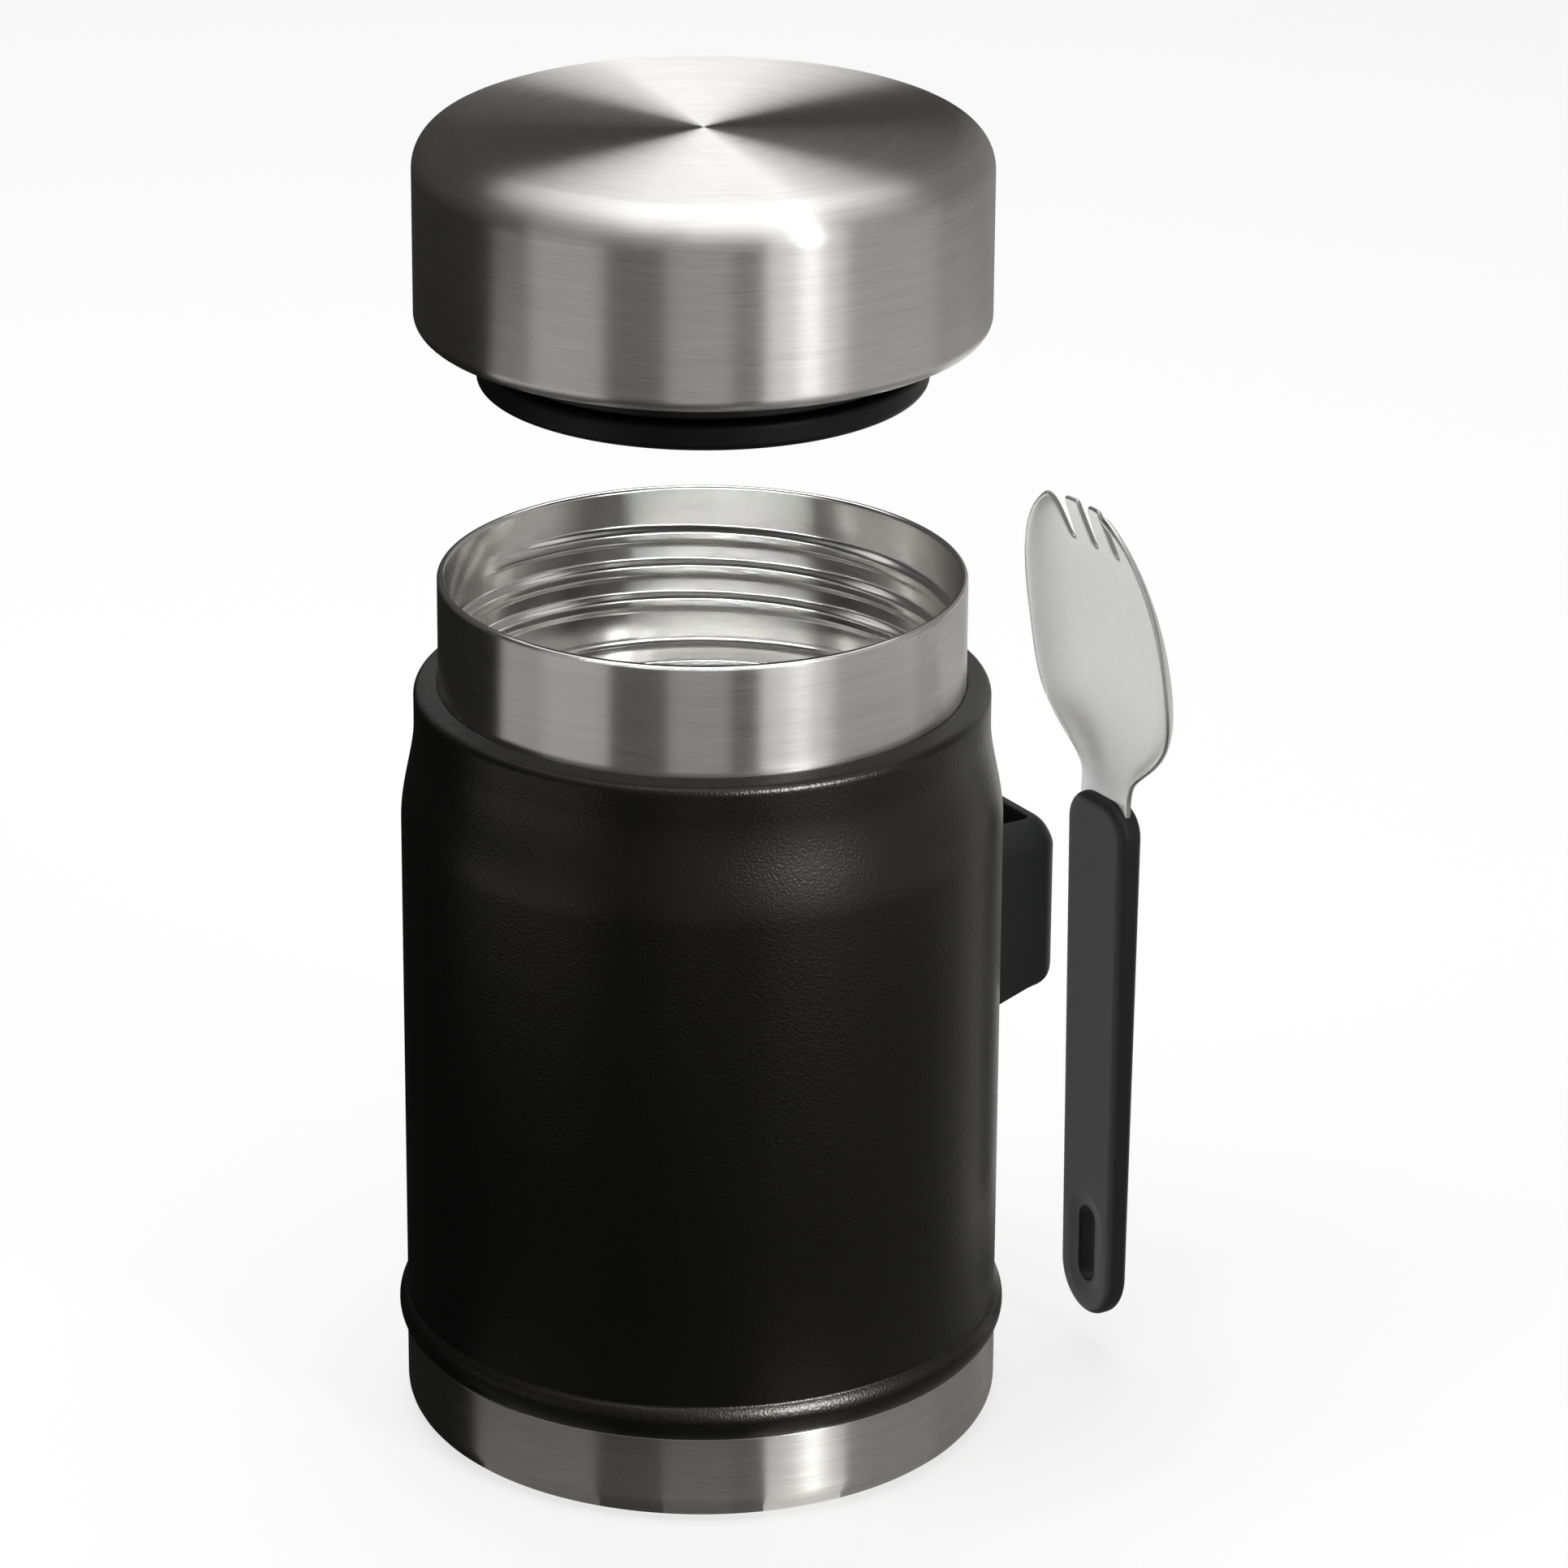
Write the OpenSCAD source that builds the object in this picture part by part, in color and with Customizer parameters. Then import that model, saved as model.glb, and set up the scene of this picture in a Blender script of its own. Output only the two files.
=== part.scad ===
// Insulated food jar with a screw-on lid and a spork that stows in a side loop.
// The origin is the centre of the underside of the base, +Z is up, and +X runs through the spork loop.

/* [Body] */
// Outer radius of the straight part of the body
body_r = 44.35; // [40:0.05:50]
// Sheet thickness of the outer shell
shell_wall = 0.8; // [0.5:0.1:1.2]
// Height of the seam between the black shell and the bare base cup
seam_z = 13.8; // [11:0.1:18]
// Height of the ledge at the foot of the neck
ledge_z = 115.6; // [105:0.1:135]
// How far the ledge falls from the neck to its edge
ledge_fall = 0.6; // [0.2:0.1:1]
// How far the lip round the ledge stands in from the body
lip_in = 2.05; // [1.2:0.05:3]
// Radius of the rounded edge of the lip
lip_round = 1.3; // [0.8:0.1:1.8]
// Height of the upright band under the lip
lip_band = 6; // [4:0.5:9]
// Height of the shoulder, where the body narrows to the lip
shoulder_h = 15; // [10:0.5:22]
// Height of the bead rolled into the shell just above the seam
bead_h = 5.2; // [5:0.1:9]
// How far the bead stands out from the body
bead_out = 1.25; // [0.6:0.05:1.8]

/* [Base cup] */
// How far the base cup stands out from the body
base_out = 0.1; // [0:0.05:0.6]
// Radius of the rounded foot of the base cup
base_round = 4; // [2:0.5:6]
// Thickness of the base cup
base_wall = 1; // [0.8:0.1:1.5]
// Length of the spigot that the base cup pushes up into the shell
spigot_h = 2.8; // [1.5:0.1:3]

/* [Neck and inner vessel] */
// How far the bare steel neck stands in from the body
neck_in = 5.7; // [5:0.05:8]
// Height of the neck from the ledge to the top of the rim
neck_h = 16.6; // [14:0.1:20]
// Sheet thickness of the neck band and of the inner vessel
vessel_wall = 0.55; // [0.4:0.05:0.7]
// Thickness of the rolled rim round the mouth
rim_t = 1.15; // [1.1:0.05:1.8]
// Depth of the sealing ledge below the top of the rim
seal_depth = 25; // [23:0.5:28]
// Width of the sealing ledge
seal_in = 7.3; // [6.6:0.1:9]
// Width of the vacuum space between the shell and the food chamber
vacuum_w = 2.6; // [1.5:0.1:6]
// Height of the vacuum space under the food chamber
vacuum_h = 6.75; // [4:0.05:12]
// Height of the cone between the sealing ledge and the food chamber
throat_h = 9; // [6:0.5:14]
// Radius of the corner between the chamber's wall and its floor
vessel_round = 9; // [5:0.5:14]
// Pitch of the screw thread
thread_pitch = 5.3; // [4.5:0.1:6]
// Number of turns of the thread in the mouth
thread_turns = 2.4; // [1.5:0.1:2.6]
// How far a thread ridge stands out of its wall
thread_ridge = 1.15; // [0.6:0.05:1.4]
// Width of a thread ridge where it leaves its wall
thread_w = 2.9; // [2:0.1:3.4]
// Depth of the plain band between the rim and the thread
thread_drop = 5; // [4:0.1:7]
// Direction in which the thread in the mouth begins
thread_start = 123; // [0:1:360]

/* [Vacuum space] */
// Radius of the pumping hole in the steel disc that closes the shell
pump_hole_r = 1.2; // [0.8:0.1:2]
// Radius of the dimple round the pumping hole
dimple_r = 4; // [3:0.5:6]
// Depth of the dimple
dimple_depth = 1; // [0.6:0.1:1.4]
// Radius of the getter pill
getter_r = 6; // [4:0.5:8]
// Thickness of the getter pill
getter_h = 2.6; // [1.5:0.1:3]
// Distance of the getter from the jar's axis
getter_x = 20; // [12:1:28]
// Thickness of the copper foil
foil_t = 0.15; // [0.1:0.05:0.3]
// Distance from the foil's lower edge to the chamber's floor
foil_low = 12; // [10:1:20]
// Distance from the foil's upper edge to the sealing ledge
foil_high = 13; // [12:1:25]

/* [Spork loop] */
// Height of the loop's lower end where it meets the body
loop_z = 53.8; // [45:0.1:60]
// Height of the loop
loop_h = 31.5; // [26:0.1:36]
// Thickness of plastic in front of the slot
loop_front = 4.5; // [2.4:0.1:6]
// Radius of the loop's upright outer edges
loop_edge = 3; // [1.5:0.1:4]
// Height of the slanted band round the top of the loop
loop_bevel_h = 4.8; // [2:0.1:8]
// How far that band leans in at the loop's two sides
loop_bevel_in = 1.3; // [0.5:0.1:1.5]
// How far it leans in at the outer face, as far as the slot allows
loop_bevel_front = 3.4; // [0.5:0.1:5]
// How far the loop's underside rises from the body to its outer face
loop_rise = 3.6; // [1:0.1:6]
// Radius of the corner between the underside and the outer face
loop_round = 5; // [2:0.5:7]
// Play of the spork's handle in the slot, on each side
slot_play = 0.8; // [0.4:0.1:1.2]
// Thickness of plastic between the body and the slot
slot_back = 3.05; // [2.6:0.05:4]
// Thickness of plastic at each end of the slot
slot_cheek = 1.8; // [1.6:0.1:3]
// Radius of the slot's corners
slot_edge = 1.2; // [0.5:0.1:2.5]

/* [Loop bracket] */
// Length of the bracket's rail
rail_h = 18; // [12:0.5:22]
// Distance from the loop's lower end to the rail
rail_low = 6; // [4:0.5:8]
// Width of the rail's stem
stem_w = 8; // [6:0.5:9]
// Width of the rail's head
head_w = 12; // [10:0.5:13]
// Thickness of the stem and of the head
rail_t = 0.9; // [0.7:0.05:1]

/* [Lid] */
// How far the lid's side stands out from the neck
lid_out = 2.9; // [2.5:0.05:3.6]
// Height of the lid's steel cap
lid_h = 29.1; // [26:0.1:34]
// Thickness of the cap
lid_wall = 0.8; // [0.5:0.1:0.9]
// Radius of the cap's rounded top edge
lid_top_round = 5.7; // [3:0.1:7]
// Radius of the cap's turned-in foot
lid_foot_round = 2.2; // [1.6:0.1:2.3]
// How far the lid stands above its closed place
lid_raise = 54.4; // [40:0.1:70]

/* [Stopper] */
// Wall thickness of the plastic core
core_wall = 1.8; // [1.4:0.1:2]
// How far the gasket reaches over the sealing ledge
gasket_over = 2.4; // [2:0.1:3.2]
// Height of the gasket
gasket_h = 4.1; // [3.6:0.1:5]
// Width of the gasket, from the spigot that it goes round
gasket_w = 2.6; // [2.2:0.1:3.4]
// How far the waist above the gasket stays in from the gasket's side
waist_in = 0.8; // [0.4:0.1:1.2]
// How far the flange that holds the gasket on stands out from the spigot
flange_out = 1; // [0.6:0.1:1.4]
// Thickness of the flange
flange_t = 1; // [0.8:0.1:1.2]
// Number of turns of the thread on the plug
plug_turns = 2; // [1:0.1:2.2]
// How far the foam pad under the cap's top stays in from the rounded edge
foam_in = 0.85; // [0.3:0.05:3]

/* [Spork] */
// How far the spork stands out beyond the loop's face
spork_out = -0.6; // [-2:0.1:15]
// Distance along Y between the loop and the spork's handle
spork_aside = 1.8; // [1.2:0.1:20]
// Height of the handle's lower end
spork_z = 5.7; // [2:0.1:20]
// Width of the handle
handle_w = 14.8; // [13:0.1:15.6]
// Thickness of the handle
handle_t = 4.2; // [3.6:0.1:4.8]
// Length of the handle
handle_len = 85.5; // [70:0.5:95]
// Radius of the handle's long edges
handle_edge = 1.5; // [0.8:0.1:1.7]
// Radius of the handle's upper corners
handle_corner = 5; // [3:0.1:6.5]
// Width of the slot at the handle's lower end
hang_w = 4.8; // [4.6:0.1:6]
// Length of that slot
hang_len = 12.6; // [10:0.1:16]
// Distance from the handle's lower end to the slot
hang_low = 5.4; // [4:0.1:8]
// Thickness of the spork's steel
blade_t = 1; // [0.8:0.1:1.4]
// Length of the blade above the handle
blade_len = 47.5; // [38:0.5:52]
// Half of the blade's greatest width
blade_half = 17.4; // [15:0.1:20]
// Half of the blade's width at the handle
blade_neck = 6; // [5:0.1:6.4]
// Depth of the bowl
bowl_depth = 5.4; // [4:0.1:7]
// How far the tips of the tines lean towards the jar
tip_lean = 5.4; // [2:0.1:7]
// Length of the gaps between the tines
tine_len = 8; // [5:0.5:12]
// Distance between the gaps
tine_step = 5.6; // [4.5:0.1:6]
// Width of a gap at the tips
tine_gap = 2; // [1:0.1:2.6]
// Width of a gap at its root
tine_root = 1.2; // [0.8:0.1:1.6]
// Length of the tang inside the handle
tang_len = 40; // [20:1:55]
// Width of the tang
tang_w = 8; // [6:0.5:9]

/* [Clearances] */
// Clearance between pieces that move on each other
run_gap = 0.3; // [0.3:0.05:0.4]
// Clearance between pieces that are fixed to each other
fit_gap = 0.05; // [0.03:0.01:0.08]

/* [Hidden] */
$fn = 96;

black_coat = [0.07, 0.07, 0.07];
black_plastic = [0.14, 0.145, 0.15];
soft_black = [0.09, 0.09, 0.10];
brushed = [0.72, 0.71, 0.69];
bright = [0.80, 0.80, 0.80];
copper = [0.72, 0.45, 0.30];
cream = [0.90, 0.88, 0.80];
lead_grey = [0.45, 0.46, 0.48];

overrun = 1;                                    // how far a cut runs past a face
shell_in_r = body_r - shell_wall;               // inside of the shell
lip_r = body_r - lip_in;                        // lip round the ledge
base_r = body_r + base_out;                     // base cup
neck_r = body_r - neck_in;                      // neck
mouth_r = neck_r - rim_t;                       // inside of the mouth
seal_r = mouth_r - seal_in;                     // opening inside the sealing ledge
vessel_r = shell_in_r - vacuum_w - vessel_wall; // inside of the food chamber
rim_z = ledge_z + neck_h;                       // top of the rim
rim_low_z = rim_z - rim_t / 2;                  // where the rim's round begins
seal_z = rim_z - seal_depth;                    // sealing ledge
throat_band = 1.5;                              // upright band under the sealing ledge
throat_z = seal_z - throat_band;                // top of the cone under the ledge
chamber_z = throat_z - throat_h;                // top of the chamber's straight wall
shell_floor_z = seam_z + spigot_h + run_gap;    // disc that closes the shell
vessel_floor_z = shell_floor_z + shell_wall + vacuum_h + vessel_wall;
ridge_r = mouth_r - thread_ridge;               // crest of the thread in the mouth
lid_z = ledge_z + run_gap;                      // foot of the closed lid
lid_r = neck_r + lid_out;                       // outside of the cap
lid_in_r = lid_r - lid_wall;                    // inside of the cap
channel_z = rim_z + run_gap;                    // roof of the channel over the rim
gasket_z = seal_z + run_gap;                    // foot of the closed gasket
gasket_top_z = gasket_z + gasket_h;
gasket_r = seal_r + gasket_over;                // outside of the gasket
gasket_seat_r = gasket_r - gasket_w;            // spigot that the gasket goes round
flange_r = gasket_seat_r + flange_out;          // flange that holds the gasket on
waist_z = gasket_top_z + run_gap;               // foot of the plug's waist
waist_r = gasket_r - waist_in;                  // waist above the gasket
plug_z = lid_z + run_gap;                       // foot of the threaded part of the plug
plug_ridge_r = ridge_r - run_gap;               // crest of the thread on the plug
plug_r = plug_ridge_r - thread_ridge;           // plug between its threads
plug_bore_r = plug_r - core_wall;
seat_bore_r = gasket_seat_r - core_wall;
foam_r = lid_r - lid_top_round - foam_in;       // foam pad under the cap's top
slot_w = handle_w + 2 * slot_play;              // length of the slot, across the loop
slot_depth = handle_t + 2 * slot_play;          // depth of the slot, out from the body
slot_x = body_r + slot_back;                    // inner side of the slot
loop_w = slot_w + 2 * slot_cheek;               // width of the loop
loop_r = slot_x + slot_depth + loop_front;      // outer face of the loop
loop_top_r = loop_r - min(loop_bevel_front, loop_front - 1); // outer face at the loop's top
spork_x = loop_r + spork_out + handle_t / 2;    // middle of the spork, along X
spork_y = -(loop_w / 2 + spork_aside + handle_w / 2); // middle of the spork, along Y
shoulder_top_z = ledge_z - lip_band;
bead_arc_r = (bead_h * bead_h / 4 + bead_out * bead_out) / (2 * bead_out);
helix_steps = 48;                               // sections in one turn of a thread
skin_gap = 0.02;                                // between a thread's ridge and its wall
blade_rows = 30;
blade_cols = 16;

// Radius of the body at a height, falling from the straight part to the lip
function shoulder_r(t) = body_r + (lip_r - body_r) * (3 * t * t - 2 * t * t * t);

// ---- Shared shapes ----

// Upright outline with a rounded foot and a rounded top, to be turned round the axis
module round_block(r, h, foot, top) {
    translate([0, foot]) square([r, h - foot - top]);
    square([r - foot, h - top]);
    translate([0, foot]) square([r - top, h - foot]);
    if (foot > 0) translate([r - foot, foot]) circle(foot);
    if (top > 0) translate([r - top, h - top]) circle(top);
}

// Flat ring standing on z
module ring(r_out, r_in, z, h) {
    translate([0, 0, z]) difference() {
        cylinder(r = r_out, h = h);
        translate([0, 0, -overrun]) cylinder(r = r_in, h = h + 2 * overrun);
    }
}

// Screw ridge that winds down from z_top; a positive ridge stands outwards.
// Its flat sides keep just clear of the round wall that carries it.
module thread(wall_r, ridge, z_top, turns, start) {
    r = ridge > 0 ? (wall_r + skin_gap) / cos(180 / helix_steps) : wall_r - skin_gap;
    last = ceil(turns * helix_steps);
    function fade(i) = min(1, min(i, last - i) / (helix_steps / 12) + 0.08);
    points = [for (i = [0 : last], k = [0 : 3])
        let (a = start - 360 * i / helix_steps,
             z = z_top - thread_w / 2 - thread_pitch * i / helix_steps,
             rr = k == 0 || k == 3 ? r : r + (wall_r + ridge - r) * fade(i),
             dz = [-0.5, -0.2, 0.2, 0.5][k] * thread_w)
        [rr * cos(a), rr * sin(a), z + dz]];
    sides = [for (i = [0 : last - 1], k = [0 : 3])
        let (a = 4 * i + k, b = 4 * i + (k + 1) % 4)
        each (ridge > 0
            ? [[a, b, b + 4], [a, b + 4, a + 4]]
            : [[a, b + 4, b], [a, a + 4, b + 4]])];
    ends = ridge > 0
        ? [[0, 2, 1], [0, 3, 2], [4 * last, 4 * last + 1, 4 * last + 2],
           [4 * last, 4 * last + 2, 4 * last + 3]]
        : [[0, 1, 2], [0, 2, 3], [4 * last, 4 * last + 2, 4 * last + 1],
           [4 * last, 4 * last + 3, 4 * last + 2]];
    polyhedron(points, concat(sides, ends));
}

// ---- Jar ----

// Outline of the shell, drawn in by a distance
module shell_outline(inset) {
    rows = 12;
    top = ledge_z - inset;
    edge_z = ledge_z - ledge_fall - lip_round;
    intersection() {
        union() {
            polygon(concat(
                [[0, seam_z - overrun], [body_r - inset, seam_z - overrun]],
                [for (i = [0 : rows]) [shoulder_r(i / rows) - inset,
                    shoulder_top_z - shoulder_h + shoulder_h * i / rows]],
                [[lip_r - inset, edge_z], [lip_r - lip_round, edge_z + lip_round - inset],
                 [neck_r, top], [0, top]]));
            translate([lip_r - lip_round, edge_z]) circle(lip_round - inset);
        }
        translate([0, inset > 0 ? seam_z - overrun : seam_z])
            square([2 * body_r, 2 * ledge_z]);
    }
}

module outer_shell() {
    color(black_coat) difference() {
        rotate_extrude() difference() {
            union() {
                shell_outline(0);
                intersection() {
                    translate([body_r + bead_out - bead_arc_r, seam_z + bead_h / 2])
                        circle(bead_arc_r);
                    translate([shell_in_r + fit_gap, seam_z]) square([bead_arc_r, bead_h]);
                }
            }
            shell_outline(shell_wall);
        }
        cylinder(r = neck_r + fit_gap, h = 2 * ledge_z);
    }
}

module shell_floor() {
    floor_r = shell_in_r - fit_gap;
    color(brushed) difference() {
        union() {
            translate([0, 0, shell_floor_z]) cylinder(r = floor_r, h = shell_wall);
            translate([0, 0, shell_floor_z])
                cylinder(r = dimple_r + shell_wall, h = dimple_depth + shell_wall);
        }
        translate([0, 0, shell_floor_z - overrun])
            cylinder(r = dimple_r, h = dimple_depth + overrun);
        translate([0, 0, shell_floor_z]) cylinder(r = pump_hole_r, h = 2 * dimple_depth + shell_wall);
    }
}

module vacuum_seal() {
    color(lead_grey) translate([0, 0, shell_floor_z + dimple_depth * 0.2])
        cylinder(r = dimple_r * 0.7, h = dimple_depth * 0.8);
}

module getter() {
    color(lead_grey) translate([getter_x, 0, shell_floor_z + shell_wall])
        cylinder(r = getter_r, h = getter_h);
}

module radiation_shield() {
    foil_r = vessel_r + vessel_wall + fit_gap;
    color(copper) ring(foil_r + foil_t, foil_r, vessel_floor_z + foil_low,
        seal_z - foil_high - vessel_floor_z - foil_low);
}

// Hollow of the inner vessel, grown by a distance
module vessel_outline(grow) {
    translate([0, seal_z - grow]) square([mouth_r + grow, rim_low_z - seal_z + grow]);
    polygon([[0, seal_z + overrun], [seal_r + grow, seal_z + overrun], [seal_r + grow, throat_z],
        [vessel_r + grow, chamber_z], [vessel_r + grow, chamber_z - overrun],
        [0, chamber_z - overrun]]);
    translate([0, vessel_floor_z - grow])
        round_block(vessel_r + grow, chamber_z - vessel_floor_z + grow, vessel_round + grow, 0);
}

module inner_vessel() {
    color(bright) {
        difference() {
            rotate_extrude() vessel_outline(vessel_wall);
            rotate_extrude() vessel_outline(0);
            translate([0, 0, rim_low_z - overrun]) cylinder(r = mouth_r, h = 2 * overrun);
            translate([0, 0, vessel_floor_z - 2 * vessel_wall])
                cylinder(r = vessel_r - vessel_round, h = 4 * vessel_wall);
        }
        rotate_extrude() {
            intersection() {
                translate([mouth_r + rim_t / 2, rim_low_z]) circle(rim_t / 2);
                translate([mouth_r, rim_low_z]) square([rim_t, rim_t]);
            }
            translate([mouth_r, rim_low_z - overrun]) square([vessel_wall, overrun + rim_t / 10]);
        }
    }
}

module mouth_thread() {
    color(bright) thread(mouth_r, -thread_ridge, rim_z - thread_drop, thread_turns, thread_start);
}

module vessel_floor() {
    color(bright) translate([0, 0, vessel_floor_z - vessel_wall])
        cylinder(r = vessel_r - vessel_round - fit_gap, h = vessel_wall);
}

module neck_band() {
    foot_z = ledge_z - shell_wall - overrun;
    color(brushed) ring(neck_r, mouth_r + vessel_wall + fit_gap, foot_z, rim_low_z - foot_z);
}

module base_cup() {
    spigot_r = shell_in_r - 2 * fit_gap;
    color(brushed) {
        rotate_extrude() {
            difference() {
                round_block(base_r, seam_z, base_round, 0);
                translate([0, base_wall]) round_block(base_r - 2 * base_wall, seam_z,
                    base_round - base_wall, 0);
            }
            translate([spigot_r - base_wall, seam_z - 2 * base_wall])
                square([base_wall, spigot_h + 2 * base_wall]);
        }
    }
}

// ---- Spork loop ----

// T-shaped rail, grown by a clearance
module rail(grow, h) {
    stem_x = body_r + rail_t;
    translate([body_r - 2 * rail_t, -stem_w / 2 - grow, 0])
        cube([3 * rail_t + grow, stem_w + 2 * grow, h]);
    translate([stem_x - grow, -head_w / 2 - grow, 0])
        cube([rail_t + 2 * grow, head_w + 2 * grow, h]);
}

module loop_bracket() {
    color(brushed) difference() {
        translate([0, 0, loop_z + rail_low]) rail(0, rail_h);
        cylinder(r = body_r + fit_gap / 2, h = loop_z + loop_h);
    }
}

// Side outline of the loop, from the body to its outer face
module loop_side() {
    top = loop_z + loop_h;
    foot_x = body_r - 2 * slot_cheek;
    bend_x = loop_r - loop_round;
    bend_z = loop_z + loop_rise;
    polygon([[foot_x, loop_z], [bend_x, bend_z], [bend_x + loop_round * 0.2, bend_z + loop_round],
        [loop_r, bend_z + loop_round], [loop_r, top - loop_bevel_h], [loop_top_r, top],
        [foot_x, top]]);
    intersection() {
        translate([bend_x, bend_z + loop_round]) circle(loop_round);
        translate([bend_x, bend_z]) square([loop_round, loop_round + overrun]);
    }
}

// End outline of the loop, across the body
module loop_end() {
    top = loop_z + loop_h;
    half = loop_w / 2;
    polygon([[-half, loop_z], [half, loop_z], [half, top - loop_bevel_h],
        [half - loop_bevel_in, top], [loop_bevel_in - half, top], [-half, top - loop_bevel_h]]);
}

// Plan of a block with two rounded outer edges
module loop_plan(x0, x1, w, edge) {
    translate([x0, -w / 2]) square([x1 - x0 - edge, w]);
    translate([x0, -w / 2 + edge]) square([x1 - x0, w - 2 * edge]);
    for (side = [-1, 1]) translate([x1 - edge, side * (w / 2 - edge)]) circle(edge);
}

module spork_loop() {
    color(black_plastic) difference() {
        intersection() {
            rotate([90, 0, 0]) linear_extrude(loop_w + 2, center = true) loop_side();
            rotate([90, 0, 90]) linear_extrude(2 * loop_r) loop_end();
            linear_extrude(loop_z + loop_h + overrun) loop_plan(0, loop_r, loop_w, loop_edge);
        }
        cylinder(r = body_r + 2 * fit_gap, h = loop_z + loop_h + overrun);
        translate([0, 0, loop_z - overrun]) linear_extrude(loop_h + 2 * overrun)
            slot_plan();
        translate([0, 0, loop_z - overrun]) rail(2 * fit_gap, rail_low + rail_h + overrun + fit_gap);
    }
}

module slot_plan() {
    half = slot_w / 2 - slot_edge;
    translate([slot_x, -half]) square([slot_depth, 2 * half]);
    translate([slot_x + slot_edge, -slot_w / 2]) square([slot_depth - 2 * slot_edge, slot_w]);
    for (x = [slot_x + slot_edge, slot_x + slot_depth - slot_edge], side = [-1, 1])
        translate([x, side * half]) circle(slot_edge);
}

// ---- Lid, drawn closed and then raised ----

module lid_cap() {
    mouth = lid_r - lid_foot_round;
    color(brushed) translate([0, 0, lid_raise + lid_z]) rotate_extrude() difference() {
        round_block(lid_r, lid_h, lid_foot_round, lid_top_round);
        translate([0, lid_wall]) round_block(lid_in_r, lid_h - 2 * lid_wall,
            lid_foot_round - lid_wall, lid_top_round - lid_wall);
        square([mouth, 2 * lid_wall]);
    }
}

module lid_core() {
    liner_z = lid_z + lid_foot_round;
    liner_in_r = neck_r + 1.5 * run_gap;
    foot_z = gasket_z + run_gap / 2 + flange_t;
    color(soft_black) translate([0, 0, lid_raise]) {
        rotate_extrude() {
            translate([liner_in_r, liner_z])
                square([lid_in_r - fit_gap - liner_in_r, channel_z + core_wall - liner_z]);
            translate([plug_bore_r, channel_z])
                square([lid_in_r - fit_gap - plug_bore_r, core_wall]);
            translate([plug_bore_r, plug_z]) square([core_wall, channel_z + core_wall - plug_z]);
            translate([seat_bore_r, plug_z]) square([plug_r - seat_bore_r, core_wall]);
            translate([seat_bore_r, waist_z]) square([waist_r - seat_bore_r, plug_z + core_wall - waist_z]);
            translate([seat_bore_r, foot_z]) square([core_wall, waist_z + core_wall - foot_z]);
        }
    }
}

module plug_thread() {
    color(soft_black) translate([0, 0, lid_raise])
        thread(plug_r, plug_ridge_r - plug_r, channel_z - run_gap, plug_turns, 0);
}

module lid_foam() {
    pad_z = channel_z + core_wall;
    low_z = gasket_z + run_gap / 2 + 2 * flange_t;
    color(cream) translate([0, 0, lid_raise]) {
        translate([0, 0, low_z]) cylinder(r = seat_bore_r - fit_gap, h = pad_z - low_z);
        translate([0, 0, plug_z + core_wall])
            cylinder(r = plug_bore_r - fit_gap, h = pad_z - plug_z - core_wall);
        translate([0, 0, pad_z]) cylinder(r = foam_r, h = lid_z + lid_h - lid_wall - pad_z);
    }
}

module stopper_floor() {
    foot_z = gasket_z + run_gap / 2;
    color(soft_black) translate([0, 0, lid_raise + foot_z]) {
        cylinder(r = flange_r, h = flange_t);
        cylinder(r = seat_bore_r - fit_gap, h = 2 * flange_t);
    }
}

module lid_gasket() {
    lip_h = flange_t + 1.5 * run_gap;
    color(soft_black) translate([0, 0, lid_raise]) {
        ring(gasket_r, flange_r + run_gap, gasket_z, lip_h);
        ring(gasket_r, gasket_seat_r + run_gap, gasket_z + lip_h, gasket_h - lip_h);
    }
}

// ---- Spork, standing upright with its bowl towards the jar ----

// Half width of the blade at a share v of its length
function blade_w(v) = lookup(v, [[0, blade_neck], [0.07, blade_neck * 1.03],
    [0.12, blade_half * 0.48], [0.18, blade_half * 0.72], [0.25, blade_half * 0.87],
    [0.35, blade_half * 0.96], [0.5, blade_half], [0.65, blade_half * 0.98],
    [0.75, blade_half * 0.93], [0.85, blade_half * 0.8], [0.93, blade_half * 0.62],
    [1, blade_half * 0.4]]);
// Place of the blade's edge across its thickness, leaning towards the jar at the tip
function blade_edge(v) = -tip_lean * pow(v, 1.5);
// Depth of the bowl behind the blade's edge
function blade_depth(v) = bowl_depth * pow(sin(180 * pow(v, 0.75)), 0.8) + 1.6 * v * v;
function blade_point(u, v, side) = [
    blade_edge(v) + blade_depth(v) * (1 - pow(abs(u), 3)) + side * blade_t / 2,
    blade_w(v) * u,
    handle_len + blade_len * v];

module blade_sheet() {
    across = blade_cols + 1;
    count = across * (blade_rows + 1);
    points = [for (side = [-1, 1], j = [0 : blade_rows], i = [0 : blade_cols])
        blade_point(2 * i / blade_cols - 1, j / blade_rows, side)];
    faces = [for (j = [0 : blade_rows - 1], i = [0 : blade_cols - 1])
        let (a = j * across + i, b = a + 1, c = b + across, d = a + across)
        each [[a, b, c], [a, c, d], [count + a, count + c, count + b],
            [count + a, count + d, count + c]]];
    ends = [for (i = [0 : blade_cols - 1], j = [0, blade_rows])
        let (a = j * across + i, b = a + 1)
        each (j == 0
            ? [[a, count + a, count + b], [a, count + b, b]]
            : [[a, count + b, count + a], [a, b, count + b]])];
    edges = [for (j = [0 : blade_rows - 1], i = [0, blade_cols])
        let (a = j * across + i, d = a + across)
        each (i == 0
            ? [[a, count + d, count + a], [a, d, count + d]]
            : [[a, count + a, count + d], [a, count + d, d]])];
    polyhedron(points, concat(faces, ends, edges));
}

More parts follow.
